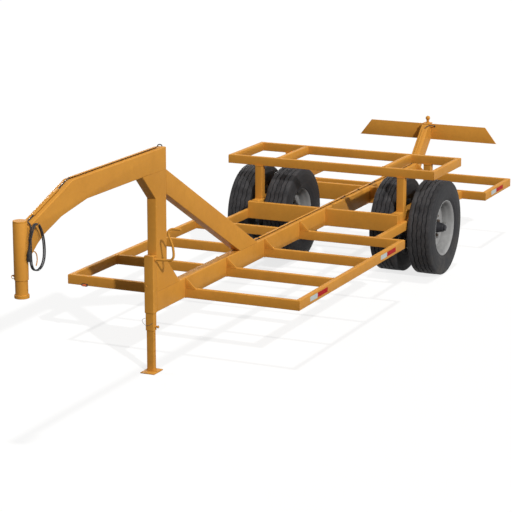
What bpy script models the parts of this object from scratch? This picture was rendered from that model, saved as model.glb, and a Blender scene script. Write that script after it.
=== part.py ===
"""Gooseneck bale trailer: a welded tube frame on four truck wheels.

Metres, +Z up. The front of the trailer points to -Y and its left side to +X.
Stations run rearward from the front face of the deck, and heights start at the ground.
"""
import bpy
import bmesh
from math import asin, cos, pi, radians, sin, sqrt, tan
from mathutils import Matrix, Vector

IN = 0.0254
FIT = 0.0003
MITRE_FIT = FIT * sqrt(2)

# Rectangular tube sizes
DECK_TUBE_W = 2 * IN
DECK_TUBE_H = 4 * IN
SPINE_W = 4 * IN
SPINE_H = 8 * IN
BEAM_T = 2 * IN
MEMBER_W = 4 * IN
POST_W = 3.5 * IN
AXLE_TUBE = 4 * IN

# Tyres and wheels
TYRE_RADIUS = 0.551
TYRE_WIDTH = 0.279
BEAD_RADIUS = 0.311
RIM_FLANGE_RADIUS = 0.3235
RIM_HALF_WIDTH = 0.122
RIM_BARREL_RADIUS = 0.292
RIM_WALL_DEPTH = 0.022
LIP_T = 0.006
LIP_CHAMFER = 0.004
BEAD_CLEARANCE = 0.001
DISC_OFFSET = -0.035
DISC_T = 0.012
DISC_FLAT_RADIUS = 0.135
DISC_CROWN_INSET = 0.035
DISC_CROWN_RISE = 0.020
DISC_EDGE_RISE = 0.006
HAND_HOLES = 2
HAND_HOLE_CIRCLE = 0.200
HAND_HOLE_LENGTH = 0.095
HAND_HOLE_WIDTH = 0.050
HUB_FLANGE_T = 0.012
HUB_BASE_RADIUS = 0.078
HUB_BASE_RISE = 0.010
HUB_BARREL_RADIUS = 0.060
HUB_BARREL_END = 0.055
HUB_CAP_RADIUS = 0.048
HUB_CAP_END = 0.108
HUB_TIP_RADIUS = 0.036
HUB_REACH = 0.134
HUB_BACK = 0.085
SPINDLE_RADIUS = 0.036
SPINDLE_CLEARANCE = 0.0006
SPINDLE_STOP = 0.075
HUB_RUNNING_GAP = 0.006
AXLE_STATION = 4.308
WHEEL_OFFSET = 0.2365

# Deck
HALF_WIDTH = 51 * IN
CROSS_COUNT = 4
CROSS_PITCH = 0.954
GUSSET_REACH = 0.115
GUSSET_T = 0.375 * IN
GUSSET_INSET = 0.0015
REAR_DECK_STATION = 5.722
REAR_DECK_LENGTH = 0.990

# Wheel bay and the rack over it
TYRE_GAP_FRONT = 0.0892
TYRE_GAP_REAR = 0.1512
MEMBER_OUTER = 0.938
RACK_SETBACK = 0.214
RACK_LENGTH = 0.941
RACK_HALF_WIDTH = 1.2925
RACK_BAR_CENTRE = 0.665
POST_H = 0.395

# Spine, upright, neck and brace
SPINE_FRONT = -0.605
ELBOW_STATION = 6.610
MAST_ANGLE = radians(42)
MAST_H = 0.439
UPRIGHT_REAR = -0.387
NECK_TOP = 1.497
NECK_DEPTH = 0.218
NECK_BEND_STATION = -2.180
NECK_SLOPE = radians(19.4)
KNEE_REACH = 0.263
KNEE_DROP = 0.256
FOOT_GUSSET_LEG = 0.273
BRACE_ANGLE = radians(29)
BRACE_DEPTH = 0.216
LATCH_ROD_R = 0.0045

# Latch rod under the neck's nose: points as side, station and height over the deck
LATCH_ROUTE = (
    # x, station, height
    (0.030, -2.915, 0.985),
    (0.030, -2.922, 0.930),
    (0.030, -2.898, 0.895),
    (0.030, -2.885, 0.840),
)

# Neck underside, as stations and heights over the deck
NECK_BELLY = (
    # station, height
    (-1.930, 1.279),
    (-2.390, 1.207),
    (-2.690, 1.110),
    (-2.810, 1.047),
    (-2.949, 0.945),
)

# Coupler
COUPLER_STATION = -3.012
COUPLER_R = 2.5 * IN
COUPLER_BORE = 0.0573
COUPLER_TOP = 1.290
COUPLER_BOTTOM = 0.770
COUPLER_CAP = 0.010
INNER_TUBE_R = 0.0565
INNER_TUBE_TOP = 1.120
COLLAR_R = 0.066
COLLAR_H = 0.030
SOCKET_BOTTOM = 0.610
SOCKET_R = 0.031
SOCKET_LEAD = 0.038
SOCKET_DEPTH = 0.110

# Jack
JACK_HOUSING = (4 * IN, 3 * IN)
JACK_SLEEVE = (3.5 * IN, 2.5 * IN)
JACK_LEG = (3 * IN, 2 * IN)
JACK_CLEARANCE = 0.0006
JACK_TOP = 0.468
JACK_CAP = 0.008
JACK_BOSS_R = 0.018
JACK_BOSS_REACH = 0.016
SLEEVE_BOTTOM = -0.280
PULL_PIN_HEIGHT = -0.240
PULL_PIN_R = 0.0065
PULL_PIN_BARREL = (0.012, 0.024)
PULL_PIN_KNOB = (0.014, 0.014)
PULL_PIN_REACH = 0.052
WELD_SEAT = 0.003
LEG_TOP = 0.020
FOOT_SIZE = (0.152, 0.190)
FOOT_T = 0.012

# Crank rod: points as side, fore and aft from the jack, and height over the deck
CRANK_ROD_R = 0.008
CRANK_ROUTE = (
    # x, y, height
    (0.040, 0.000, 0.432),
    (0.222, 0.000, 0.432),
    (0.242, -0.004, 0.452),
    (0.238, -0.034, 0.700),
    (0.246, -0.030, 0.722),
    (0.335, 0.045, 0.738),
)

# Tail plate and ball
TAIL_STATION = 7.182
TAIL_T = 0.5 * IN
TAIL_H = SPINE_H
TAIL_TOP_HALF = 0.787
TAIL_BOTTOM_HALF = 0.943
LAMP_CENTRE = 0.700
LAMP_R = 2 * IN
LAMP_DEPTH = 0.022
LAMP_EDGE = 0.006
PAD_FRONT_REACH = 0.090
PAD_REAR_REACH = 0.040
PAD_T = 0.5 * IN
BALL_STATION = 7.190
BALL_FLAT_R = 0.010
BALL_R = 0.0295
BALL_STEM_R = 0.018
BALL_STEM_H = 0.030
BALL_SHOULDER_R = 0.026
BALL_SHOULDER_H = 0.006

# Wire guard on the neck, brace, spine and mast, and the lead
CONDUIT_W = 0.026
CONDUIT_H = 0.016
CONDUIT_FRONT = -2.790
CONDUIT_REAR = -0.410
GUARD_END_GAP = 0.060
LEAD_R = 0.0065
LEAD_POINT_STEP = 0.030
HANK_X = (0.0700, 0.0985)
HANK_STATION = (-3.003, -2.775)
HANK_HEIGHT = (0.832, 1.258)
HANK_ARC_STEPS = 8
PLUG_R = 0.021
PLUG_H = 0.105
PLUG_X = 0.092
PLUG_BOTTOM = 0.942

# The lead's free run from the conduit to its hank: side, station, height over the deck
LEAD_ROUTE = (
    # x, station, height
    (0.0000, -2.7931, 1.2899),
    (0.0000, -2.8300, 1.2770),
    (0.0000, -2.8680, 1.2665),
    (0.0060, -2.9000, 1.2615),
    (0.0260, -2.9250, 1.2600),
    (0.0520, -2.9380, 1.2575),
    (0.0780, -2.9438, 1.2499),
)

WHEEL_STEPS = 36
TUBE_STEPS = 32
BALL_STEPS = 24
BALL_RINGS = 8
FITTING_STEPS = 16
HOLE_ARC_STEPS = 5

# Worked out from the sizes above
AXLE_HEIGHT = TYRE_RADIUS
MEMBER_BOTTOM = AXLE_HEIGHT + AXLE_TUBE / 2 + FIT
DECK_BOTTOM = MEMBER_BOTTOM
DECK_TOP = DECK_BOTTOM + DECK_TUBE_H
SPINE_TOP = DECK_BOTTOM + SPINE_H
SPINE_SIDE = SPINE_W / 2
DECK_LENGTH = (CROSS_COUNT - 1) * CROSS_PITCH + DECK_TUBE_W
BAY_STATION = AXLE_STATION - TYRE_RADIUS - TYRE_GAP_FRONT - BEAM_T
BAY_REAR = AXLE_STATION + TYRE_RADIUS + TYRE_GAP_REAR + BEAM_T
RACK_STATION = BAY_STATION + RACK_SETBACK
REAR_DECK_END = REAR_DECK_STATION + REAR_DECK_LENGTH
MEMBER_INNER = MEMBER_OUTER - MEMBER_W
MEMBER_TOP = SPINE_TOP
RAIL_INNER = MEMBER_OUTER + FIT
RAIL_OUTER = RAIL_INNER + DECK_TUBE_W
RACK_BOTTOM = MEMBER_TOP + POST_H
RACK_TOP = RACK_BOTTOM + DECK_TUBE_H
PAIR_CENTRE = (MEMBER_INNER + RAIL_OUTER) / 2
JACK_STATION = SPINE_FRONT - FIT - JACK_HOUSING[1] / 2
TAIL_TOP = SPINE_TOP + MAST_H
FRONT_END = COUPLER_STATION - COLLAR_R
REAR_END = BALL_STATION + PAD_REAR_REACH
CENTRE_STATION = (FRONT_END + REAR_END) / 2

SIDES = (("left", 1), ("right", -1))

PAINTS = {
    # name: colour, roughness, metallic
    "frame_paint": ((0.550, 0.250, 0.038, 1.0), 0.45, 0.0),
    "tyre_rubber": ((0.030, 0.030, 0.032, 1.0), 0.80, 0.0),
    "wheel_paint": ((0.300, 0.300, 0.295, 1.0), 0.45, 0.3),
    "axle_paint": ((0.035, 0.035, 0.038, 1.0), 0.55, 0.2),
    "lead_rubber": ((0.020, 0.020, 0.022, 1.0), 0.60, 0.0),
}


def clear_scene():
    for item in list(bpy.data.objects):
        bpy.data.objects.remove(item, do_unlink=True)


def new_collection(name):
    group = bpy.data.collections.new(name)
    bpy.context.scene.collection.children.link(group)
    return group


def make_paint(name):
    colour, roughness, metallic = PAINTS[name]
    paint = bpy.data.materials.new(name)
    paint.use_nodes = True
    shader = paint.node_tree.nodes["Principled BSDF"]
    shader.inputs["Base Color"].default_value = colour
    shader.inputs["Roughness"].default_value = roughness
    shader.inputs["Metallic"].default_value = metallic
    paint.diffuse_color = colour
    return paint


clear_scene()
PARTS = new_collection("bale_trailer")
CUTTERS = new_collection("cutters")
MATERIALS = {name: make_paint(name) for name in PAINTS}

TRAILER = bpy.data.objects.new("trailer_origin", None)
TRAILER.location = (0, -CENTRE_STATION, 0)
PARTS.objects.link(TRAILER)


def add_piece(name, mesh, place, paint="frame_paint", parent=TRAILER):
    """Link a mesh as a sub-part, with its origin at place."""
    piece = bpy.data.objects.new(name, mesh)
    piece.location = place
    piece.parent = parent
    mesh.materials.clear()
    mesh.materials.append(MATERIALS[paint])
    PARTS.objects.link(piece)
    return piece


def as_cutter(piece):
    """Keep a piece out of the model, as a shape that is cut from or joined to another."""
    PARTS.objects.unlink(piece)
    CUTTERS.objects.link(piece)
    piece.hide_render = True
    piece.display_type = "WIRE"
    return piece


def combine(piece, other, operation):
    as_cutter(other)
    step = piece.modifiers.new(other.name, "BOOLEAN")
    step.operation = operation
    step.solver = "EXACT"
    step.object = other


def box(name, low, high, paint="frame_paint", parent=TRAILER):
    """A block between two corners, with its origin at its centre."""
    low, high = Vector(low), Vector(high)
    mesh = bpy.data.meshes.new(name)
    work = bmesh.new()
    bmesh.ops.create_cube(work, size=1.0)
    bmesh.ops.scale(work, vec=high - low, verts=work.verts)
    work.to_mesh(mesh)
    work.free()
    return add_piece(name, mesh, (low + high) / 2, paint, parent)


PLANES = {
    # plane: where the outline's own X, Y and the thickness point
    "plan": Matrix(((1, 0, 0), (0, 1, 0), (0, 0, 1))),
    "side": Matrix(((0, 0, 1), (1, 0, 0), (0, 1, 0))),
    "front": Matrix(((1, 0, 0), (0, 0, -1), (0, 1, 0))),
}


def mesh_from_curve(curve, name, turn=None):
    """Turn a curve into a welded mesh with its faces outwards."""
    holder = bpy.data.objects.new(name + "_curve", curve)
    CUTTERS.objects.link(holder)
    bpy.context.view_layer.update()
    shaped = holder.evaluated_get(bpy.context.evaluated_depsgraph_get())
    mesh = bpy.data.meshes.new_from_object(shaped)
    bpy.data.objects.remove(holder, do_unlink=True)
    work = bmesh.new()
    work.from_mesh(mesh)
    bmesh.ops.remove_doubles(work, verts=work.verts, dist=0.00005)
    if turn is not None:
        bmesh.ops.transform(work, matrix=turn.to_4x4(), verts=work.verts)
    bmesh.ops.recalc_face_normals(work, faces=work.faces)
    work.to_mesh(mesh)
    work.free()
    mesh.name = name
    return mesh


def outline_solid(name, outline, plane, low, high, paint="frame_paint"):
    """A flat outline given a thickness from low to high across its plane."""
    curve = bpy.data.curves.new(name, "CURVE")
    curve.dimensions = "2D"
    curve.fill_mode = "BOTH"
    curve.extrude = (high - low) / 2
    spline = curve.splines.new("POLY")
    spline.points.add(len(outline) - 1)
    for point, (a, b) in zip(spline.points, outline):
        point.co = (a, b, 0, 1)
    spline.use_cyclic_u = True
    turn = PLANES[plane]
    mesh = mesh_from_curve(curve, name, turn)
    middle = turn @ Vector((0, 0, (low + high) / 2))
    return add_piece(name, mesh, middle, paint)


def rod(name, points, radius, place, paint="frame_paint", sides=2):
    """A round rod along straight runs between points."""
    curve = bpy.data.curves.new(name, "CURVE")
    curve.dimensions = "3D"
    curve.bevel_depth = radius
    curve.bevel_resolution = sides
    curve.use_fill_caps = True
    spline = curve.splines.new("POLY")
    spline.points.add(len(points) - 1)
    for point, where in zip(spline.points, points):
        point.co = (*where, 1)
    return add_piece(name, mesh_from_curve(curve, name), place, paint)


def turned(name, profile, steps, place, paint, closed=False, turn=(0, 0, 0)):
    """A profile of radii and heights, top to bottom on the outside, spun round Z."""
    mesh = bpy.data.meshes.new(name)
    work = bmesh.new()
    corners = [work.verts.new((radius, 0, height)) for radius, height in profile]
    for first, second in zip(corners, corners[1:]):
        work.edges.new((first, second))
    if closed:
        work.edges.new((corners[-1], corners[0]))
    work.to_mesh(mesh)
    work.free()
    piece = add_piece(name, mesh, place, paint)
    piece.rotation_euler = turn
    screw = piece.modifiers.new("spin", "SCREW")
    screw.angle = 2 * pi
    screw.steps = screw.render_steps = steps
    screw.use_merge_vertices = True
    screw.merge_threshold = 0.00005
    return piece


def mirrored(outline, side):
    return [(side * x, y) for x, y in outline]


def span(side, near, far):
    """Low and high X of something between two distances out to one side."""
    return sorted((side * near, side * far))


# Deck frames

def outrigger(name, side, station, reach, mitre=0):
    """A cross tube from the spine outwards, with a gusset up to the spine's top.

    mitre is 1 where the tube meets the corner ahead of its rail, -1 behind it, 0 at the rail's side.
    """
    near = SPINE_SIDE + FIT
    front, rear = station, station + DECK_TUBE_W
    front_reach = reach - (DECK_TUBE_W if mitre == -1 else 0)
    rear_reach = reach - (DECK_TUBE_W if mitre == 1 else 0)
    outline = [(near, front), (front_reach, front), (rear_reach, rear), (near, rear)]
    tube = outline_solid(name, mirrored(outline, side), "plan", DECK_BOTTOM, DECK_TOP)
    rise = SPINE_TOP - DECK_TOP
    gusset = [
        (near, DECK_TOP - GUSSET_T),
        (near + GUSSET_REACH, DECK_TOP - GUSSET_T),
        (near + GUSSET_REACH, DECK_TOP),
        (near + GUSSET_T, DECK_TOP + rise),
        (near, DECK_TOP + rise),
    ]
    front_face = -(station + GUSSET_INSET)
    plate = outline_solid(name + "_gusset", mirrored(gusset, side), "front",
                          front_face - GUSSET_T, front_face)
    combine(tube, plate, "UNION")
    return tube


def rail(name, side, outer, front, rear):
    """A side tube with both ends mitred."""
    inner = outer - DECK_TUBE_W
    outline = [(outer, front), (outer, rear),
               (inner, rear - DECK_TUBE_W), (inner, front + DECK_TUBE_W)]
    outline_solid(name, mirrored(outline, side), "plan", DECK_BOTTOM, DECK_TOP)


def build_front_deck(word, side):
    for number in range(1, CROSS_COUNT + 1):
        station = (number - 1) * CROSS_PITCH
        mitre = {1: 1, CROSS_COUNT: -1}.get(number, 0)
        reach = HALF_WIDTH - MITRE_FIT if mitre else HALF_WIDTH - DECK_TUBE_W - FIT
        outrigger(f"deck_outrigger_{word}_{number}", side, station, reach, mitre)
    rail(f"deck_side_rail_{word}", side, HALF_WIDTH, 0, DECK_LENGTH)


def build_rear_deck(word, side):
    rear_tube = REAR_DECK_END - DECK_TUBE_W
    for end, station, mitre in (("front", REAR_DECK_STATION, 1), ("rear", rear_tube, -1)):
        outrigger(f"tail_outrigger_{word}_{end}", side, station, HALF_WIDTH - MITRE_FIT, mitre)
    rail(f"tail_side_rail_{word}", side, HALF_WIDTH, REAR_DECK_STATION, REAR_DECK_END)


# Wheel bay

def build_bay(word, side):
    beam_x = span(side, SPINE_SIDE + FIT, MEMBER_OUTER)
    for end, station in (("front", BAY_STATION), ("rear", BAY_REAR - BEAM_T)):
        box(f"bay_beam_{word}_{end}", (beam_x[0], station, DECK_BOTTOM),
            (beam_x[1], station + BEAM_T, MEMBER_TOP))
    member_x = span(side, MEMBER_INNER, MEMBER_OUTER)
    box(f"bay_side_member_{word}", (member_x[0], BAY_STATION + BEAM_T + FIT, MEMBER_BOTTOM),
        (member_x[1], BAY_REAR - BEAM_T - FIT, MEMBER_TOP))
    rail_x = span(side, RAIL_INNER, RAIL_OUTER)
    box(f"bay_long_rail_{word}", (rail_x[0], DECK_LENGTH + FIT, DECK_BOTTOM),
        (rail_x[1], REAR_DECK_STATION - FIT, DECK_TOP))


def build_posts(word, side):
    post_x = span(side, MEMBER_OUTER - POST_W, MEMBER_OUTER)
    rear_station = RACK_STATION + RACK_LENGTH - DECK_TUBE_W
    for end, tube_station in (("front", RACK_STATION), ("rear", rear_station)):
        middle = tube_station + DECK_TUBE_W / 2
        box(f"rack_post_{word}_{end}", (post_x[0], middle - POST_W / 2, MEMBER_TOP + FIT),
            (post_x[1], middle + POST_W / 2, RACK_BOTTOM - FIT))


def build_rack():
    rear = RACK_STATION + RACK_LENGTH
    inner_half = RACK_HALF_WIDTH - DECK_TUBE_W
    for end, outer_edge, inner_edge in (("front", RACK_STATION, RACK_STATION + DECK_TUBE_W),
                                        ("rear", rear, rear - DECK_TUBE_W)):
        outline = [(-RACK_HALF_WIDTH, outer_edge), (RACK_HALF_WIDTH, outer_edge),
                   (inner_half, inner_edge), (-inner_half, inner_edge)]
        outline_solid(f"rack_tube_{end}", outline, "plan", RACK_BOTTOM, RACK_TOP)
    for word, side in SIDES:
        ends = [(RACK_HALF_WIDTH, RACK_STATION + MITRE_FIT), (RACK_HALF_WIDTH, rear - MITRE_FIT),
                (inner_half, rear - DECK_TUBE_W - MITRE_FIT),
                (inner_half, RACK_STATION + DECK_TUBE_W + MITRE_FIT)]
        outline_solid(f"rack_end_{word}", mirrored(ends, side), "plan", RACK_BOTTOM, RACK_TOP)
        bar_x = span(side, RACK_BAR_CENTRE - DECK_TUBE_W / 2, RACK_BAR_CENTRE + DECK_TUBE_W / 2)
        box(f"rack_bar_{word}", (bar_x[0], RACK_STATION + DECK_TUBE_W + FIT, RACK_BOTTOM),
            (bar_x[1], rear - DECK_TUBE_W - FIT, RACK_TOP))


# Wheels

TYRE_SECTION = (
    # share of the half width, share of the way from bead to tread
    (0.80, 0.00), (0.80, 0.07), (0.94, 0.20), (1.00, 0.45), (0.95, 0.72), (0.84, 0.94), (0.72, 1.00),
)


def tyre_profile():
    """Radius and offset of the tyre's section, down its outer side and back up the bore."""
    height = TYRE_RADIUS - BEAD_RADIUS - FIT
    half = TYRE_WIDTH / 2
    upper = [(BEAD_RADIUS + FIT + rise * height, share * half) for share, rise in TYRE_SECTION]
    lower = [(radius, -offset) for radius, offset in reversed(upper)]
    return upper + lower


def wheel_profile():
    """Radius and offset of rim, disc and hub, outer side first, from the hub's end to its bore."""
    bore = SPINDLE_RADIUS + SPINDLE_CLEARANCE
    bore_end = SPINDLE_STOP + HUB_RUNNING_GAP
    lip = RIM_HALF_WIDTH
    well = RIM_BARREL_RADIUS
    crown = well - DISC_CROWN_INSET
    face = DISC_OFFSET + DISC_T
    bead = TYRE_SECTION[0][0] * TYRE_WIDTH / 2 + BEAD_CLEARANCE
    return [
        (0, HUB_REACH),
        (HUB_TIP_RADIUS, HUB_REACH),
        (HUB_TIP_RADIUS, HUB_CAP_END),
        (HUB_CAP_RADIUS, HUB_CAP_END),
        (HUB_BARREL_RADIUS, HUB_BARREL_END),
        (HUB_BASE_RADIUS, face + HUB_BASE_RISE),
        (DISC_FLAT_RADIUS, face),
        (crown, face + DISC_CROWN_RISE),
        (well, face + DISC_EDGE_RISE),
        (well, lip - RIM_WALL_DEPTH),
        (RIM_FLANGE_RADIUS - LIP_CHAMFER, lip),
        (RIM_FLANGE_RADIUS, lip - LIP_T),
        (BEAD_RADIUS, bead),
        (BEAD_RADIUS, -bead),
        (RIM_FLANGE_RADIUS, -lip + LIP_T),
        (RIM_FLANGE_RADIUS - LIP_CHAMFER, -lip),
        (well, -lip + RIM_WALL_DEPTH),
        (well, DISC_OFFSET + DISC_EDGE_RISE),
        (crown, DISC_OFFSET + DISC_CROWN_RISE),
        (DISC_FLAT_RADIUS, DISC_OFFSET - HUB_FLANGE_T),
        (HUB_BASE_RADIUS, -HUB_BACK),
        (bore, -HUB_BACK),
        (bore, bore_end),
        (0, bore_end),
    ]


def hand_hole(name, x, angle):
    """A round-ended slot through a wheel's disc, as a cutter, at an angle from the top."""
    end = HAND_HOLE_WIDTH / 2
    half = HAND_HOLE_LENGTH / 2 - end
    outline = []
    for middle, start in ((half, -pi / 2), (-half, pi / 2)):
        for step in range(HOLE_ARC_STEPS + 1):
            turn = start + pi * step / HOLE_ARC_STEPS
            outline.append(Vector((middle + end * cos(turn), HAND_HOLE_CIRCLE + end * sin(turn))))
    axle = Vector((AXLE_STATION, AXLE_HEIGHT))
    spun = [axle + Matrix.Rotation(angle, 2) @ point for point in outline]
    return outline_solid(name, spun, "side", x - RIM_HALF_WIDTH / 2, x + RIM_HALF_WIDTH / 2)


def wheel_places():
    """Each wheel's name, its centre's X, and the way its hub's end points."""
    for word, side in SIDES:
        yield f"{word}_outer", side * (PAIR_CENTRE + WHEEL_OFFSET), side
        yield f"{word}_inner", side * (PAIR_CENTRE - WHEEL_OFFSET), -side


def build_wheels():
    for word, x, facing in wheel_places():
        turn = (0, facing * pi / 2, 0)
        place = (x, AXLE_STATION, AXLE_HEIGHT)
        turned(f"tyre_{word}", tyre_profile(), WHEEL_STEPS, place, "tyre_rubber", True, turn)
        wheel = turned(f"wheel_{word}", wheel_profile(), WHEEL_STEPS, place, "wheel_paint", False, turn)
        for number in range(HAND_HOLES):
            hole = hand_hole(f"hand_hole_{word}_{number + 1}", x, 2 * pi * number / HAND_HOLES)
            combine(wheel, hole, "DIFFERENCE")


def build_axle(word, side):
    """A short axle under the side member, with a spindle at each end."""
    tube_half = WHEEL_OFFSET - HUB_BACK - HUB_RUNNING_GAP
    reach = WHEEL_OFFSET + SPINDLE_STOP
    middle = side * PAIR_CENTRE
    half = AXLE_TUBE / 2
    tube = box(f"axle_{word}", (middle - tube_half, AXLE_STATION - half, AXLE_HEIGHT - half),
               (middle + tube_half, AXLE_STATION + half, AXLE_HEIGHT + half), "axle_paint")
    spindle = turned(f"spindle_{word}",
                     [(0, reach), (SPINDLE_RADIUS, reach), (SPINDLE_RADIUS, -reach), (0, -reach)],
                     WHEEL_STEPS, (middle, AXLE_STATION, AXLE_HEIGHT), "axle_paint",
                     False, (0, pi / 2, 0))
    combine(tube, spindle, "UNION")


# Spine, mast, upright, neck and brace

def guard_strip(name, start, end):
    """The wire guard along a line of stations and heights, sunk in by a weld's depth."""
    start, end = Vector(start), Vector(end)
    along = (end - start).normalized()
    up = Vector((-along.y, along.x))
    start, end = start + along * GUARD_END_GAP, end - along * GUARD_END_GAP
    outline = [start - up * WELD_SEAT, end - up * WELD_SEAT, end + up * CONDUIT_H, start + up * CONDUIT_H]
    return outline_solid(name, outline, "side", -CONDUIT_W / 2, CONDUIT_W / 2)


def build_spine():
    lean = SPINE_H * tan(MAST_ANGLE / 2)
    outline = [(SPINE_FRONT, DECK_BOTTOM), (ELBOW_STATION + lean, DECK_BOTTOM),
               (ELBOW_STATION, SPINE_TOP), (SPINE_FRONT, SPINE_TOP)]
    spine = outline_solid("spine", outline, "side", -SPINE_SIDE, SPINE_SIDE)
    guard = guard_strip("spine_guard", (brace_line()[1][0], SPINE_TOP), (ELBOW_STATION, SPINE_TOP))
    combine(spine, guard, "UNION")


def build_mast():
    """The rear end of the spine bent upwards, with a flat top and its back cut for the tail plate."""
    lean = SPINE_H * tan(MAST_ANGLE / 2)
    foot_low = (ELBOW_STATION + lean + FIT, DECK_BOTTOM)
    foot_high = (ELBOW_STATION + FIT, SPINE_TOP)
    top = TAIL_TOP
    back = TAIL_STATION - FIT
    slope = tan(MAST_ANGLE)
    top_front = foot_high[0] + (top - SPINE_TOP) / slope
    back_low = foot_low[1] + (back - foot_low[0]) * slope
    outline = [foot_low, (back, back_low), (back, top), (top_front, top), foot_high]
    mast = outline_solid("mast", outline, "side", -SPINE_SIDE, SPINE_SIDE)
    combine(mast, guard_strip("mast_guard", foot_high, (top_front, top)), "UNION")


def build_upright():
    """The upright tube with the knee under the neck and the gusset behind its foot."""
    neck_bottom = DECK_TOP + NECK_TOP - NECK_DEPTH - FIT
    foot = SPINE_TOP + FIT
    outline = [
        (SPINE_FRONT, foot),
        (SPINE_FRONT, neck_bottom - KNEE_DROP),
        (SPINE_FRONT - KNEE_REACH, neck_bottom),
        (UPRIGHT_REAR, neck_bottom),
        (UPRIGHT_REAR, foot + FOOT_GUSSET_LEG),
        (UPRIGHT_REAR + FOOT_GUSSET_LEG, foot),
    ]
    outline_solid("upright", outline, "side", -SPINE_SIDE, SPINE_SIDE)


def neck_top_at(station):
    """Height of the neck's upper face at a station."""
    drop = max(0, NECK_BEND_STATION - station) * tan(NECK_SLOPE)
    return DECK_TOP + NECK_TOP - drop


def build_neck():
    """The goose neck, its front end coped to the coupler tube."""
    belly = [(station, DECK_TOP + height) for station, height in NECK_BELLY]
    nose = (COUPLER_STATION, belly[-1][1])
    outline = [(UPRIGHT_REAR, DECK_TOP + NECK_TOP), (UPRIGHT_REAR, DECK_TOP + NECK_TOP - NECK_DEPTH)]
    outline += belly + [nose]
    outline += [(COUPLER_STATION, neck_top_at(COUPLER_STATION)),
                (NECK_BEND_STATION, DECK_TOP + NECK_TOP)]
    neck = outline_solid("neck", outline, "side", -SPINE_SIDE, SPINE_SIDE)
    top, bottom = DECK_TOP + COUPLER_TOP + 0.2, DECK_TOP + COUPLER_BOTTOM - 0.2
    radius = COUPLER_R + FIT
    cope = turned("neck_cope", [(0, top), (radius, top), (radius, bottom), (0, bottom)],
                  TUBE_STEPS, (0, COUPLER_STATION, 0), "frame_paint")
    combine(neck, cope, "DIFFERENCE")
    route = [(x, station, DECK_TOP + height) for x, station, height in LATCH_ROUTE]
    combine(neck, rod("latch_rod", route, LATCH_ROD_R, (0, 0, 0)), "UNION")


def brace_line():
    """Upper and lower end of the brace's upper face, as stations and heights."""
    start, high = UPRIGHT_REAR + FIT, DECK_TOP + NECK_TOP - NECK_DEPTH
    foot = SPINE_TOP + FIT
    return (start, high), (start + (high - foot) / tan(BRACE_ANGLE), foot)


def build_brace():
    (start, high), (rear, foot) = brace_line()
    low = high - BRACE_DEPTH / cos(BRACE_ANGLE)
    outline = [(start, high), (start, low), (start + (low - foot) / tan(BRACE_ANGLE), foot),
               (rear, foot)]
    brace = outline_solid("brace", outline, "side", -SPINE_SIDE, SPINE_SIDE)
    combine(brace, guard_strip("brace_guard", (start, high), (rear, foot)), "UNION")


# Coupler

def build_coupler():
    top, bottom = DECK_TOP + COUPLER_TOP, DECK_TOP + COUPLER_BOTTOM
    outer = [(0, top), (COUPLER_R, top), (COUPLER_R, bottom), (COUPLER_BORE, bottom),
             (COUPLER_BORE, top - COUPLER_CAP), (0, top - COUPLER_CAP)]
    turned("coupler_tube", outer, TUBE_STEPS, (0, COUPLER_STATION, 0), "frame_paint")
    mouth = DECK_TOP + SOCKET_BOTTOM
    inner = [(0, DECK_TOP + INNER_TUBE_TOP), (INNER_TUBE_R, DECK_TOP + INNER_TUBE_TOP),
             (INNER_TUBE_R, mouth + COLLAR_H), (COLLAR_R, mouth + COLLAR_H), (COLLAR_R, mouth),
             (SOCKET_LEAD, mouth), (SOCKET_R, mouth + SOCKET_LEAD - SOCKET_R),
             (SOCKET_R, mouth + SOCKET_DEPTH - SOCKET_R), (0, mouth + SOCKET_DEPTH)]
    turned("coupler_ball_tube", inner, TUBE_STEPS, (0, COUPLER_STATION, 0), "frame_paint")


# Jack

def column(name, size, low, high):
    half_x, half_y = size[0] / 2, size[1] / 2
    return box(name, (-half_x, JACK_STATION - half_y, low), (half_x, JACK_STATION + half_y, high))


def side_fitting(name, profile, face, height):
    """A turned fitting that points out of the jack's left face."""
    place = (face, JACK_STATION, DECK_TOP + height)
    return turned(name, profile, FITTING_STEPS, place, "frame_paint", False, (0, pi / 2, 0))


def pull_pin_profile():
    """Radius and reach of the spring pin that locks the leg: knob, stem and barrel."""
    barrel_r, barrel_end = PULL_PIN_BARREL
    knob_r, knob_t = PULL_PIN_KNOB
    knob_start = PULL_PIN_REACH - knob_t
    return [(0, PULL_PIN_REACH), (knob_r, PULL_PIN_REACH), (knob_r, knob_start),
            (PULL_PIN_R, knob_start), (PULL_PIN_R, barrel_end), (barrel_r, barrel_end),
            (barrel_r, -WELD_SEAT), (0, -WELD_SEAT)]


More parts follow.
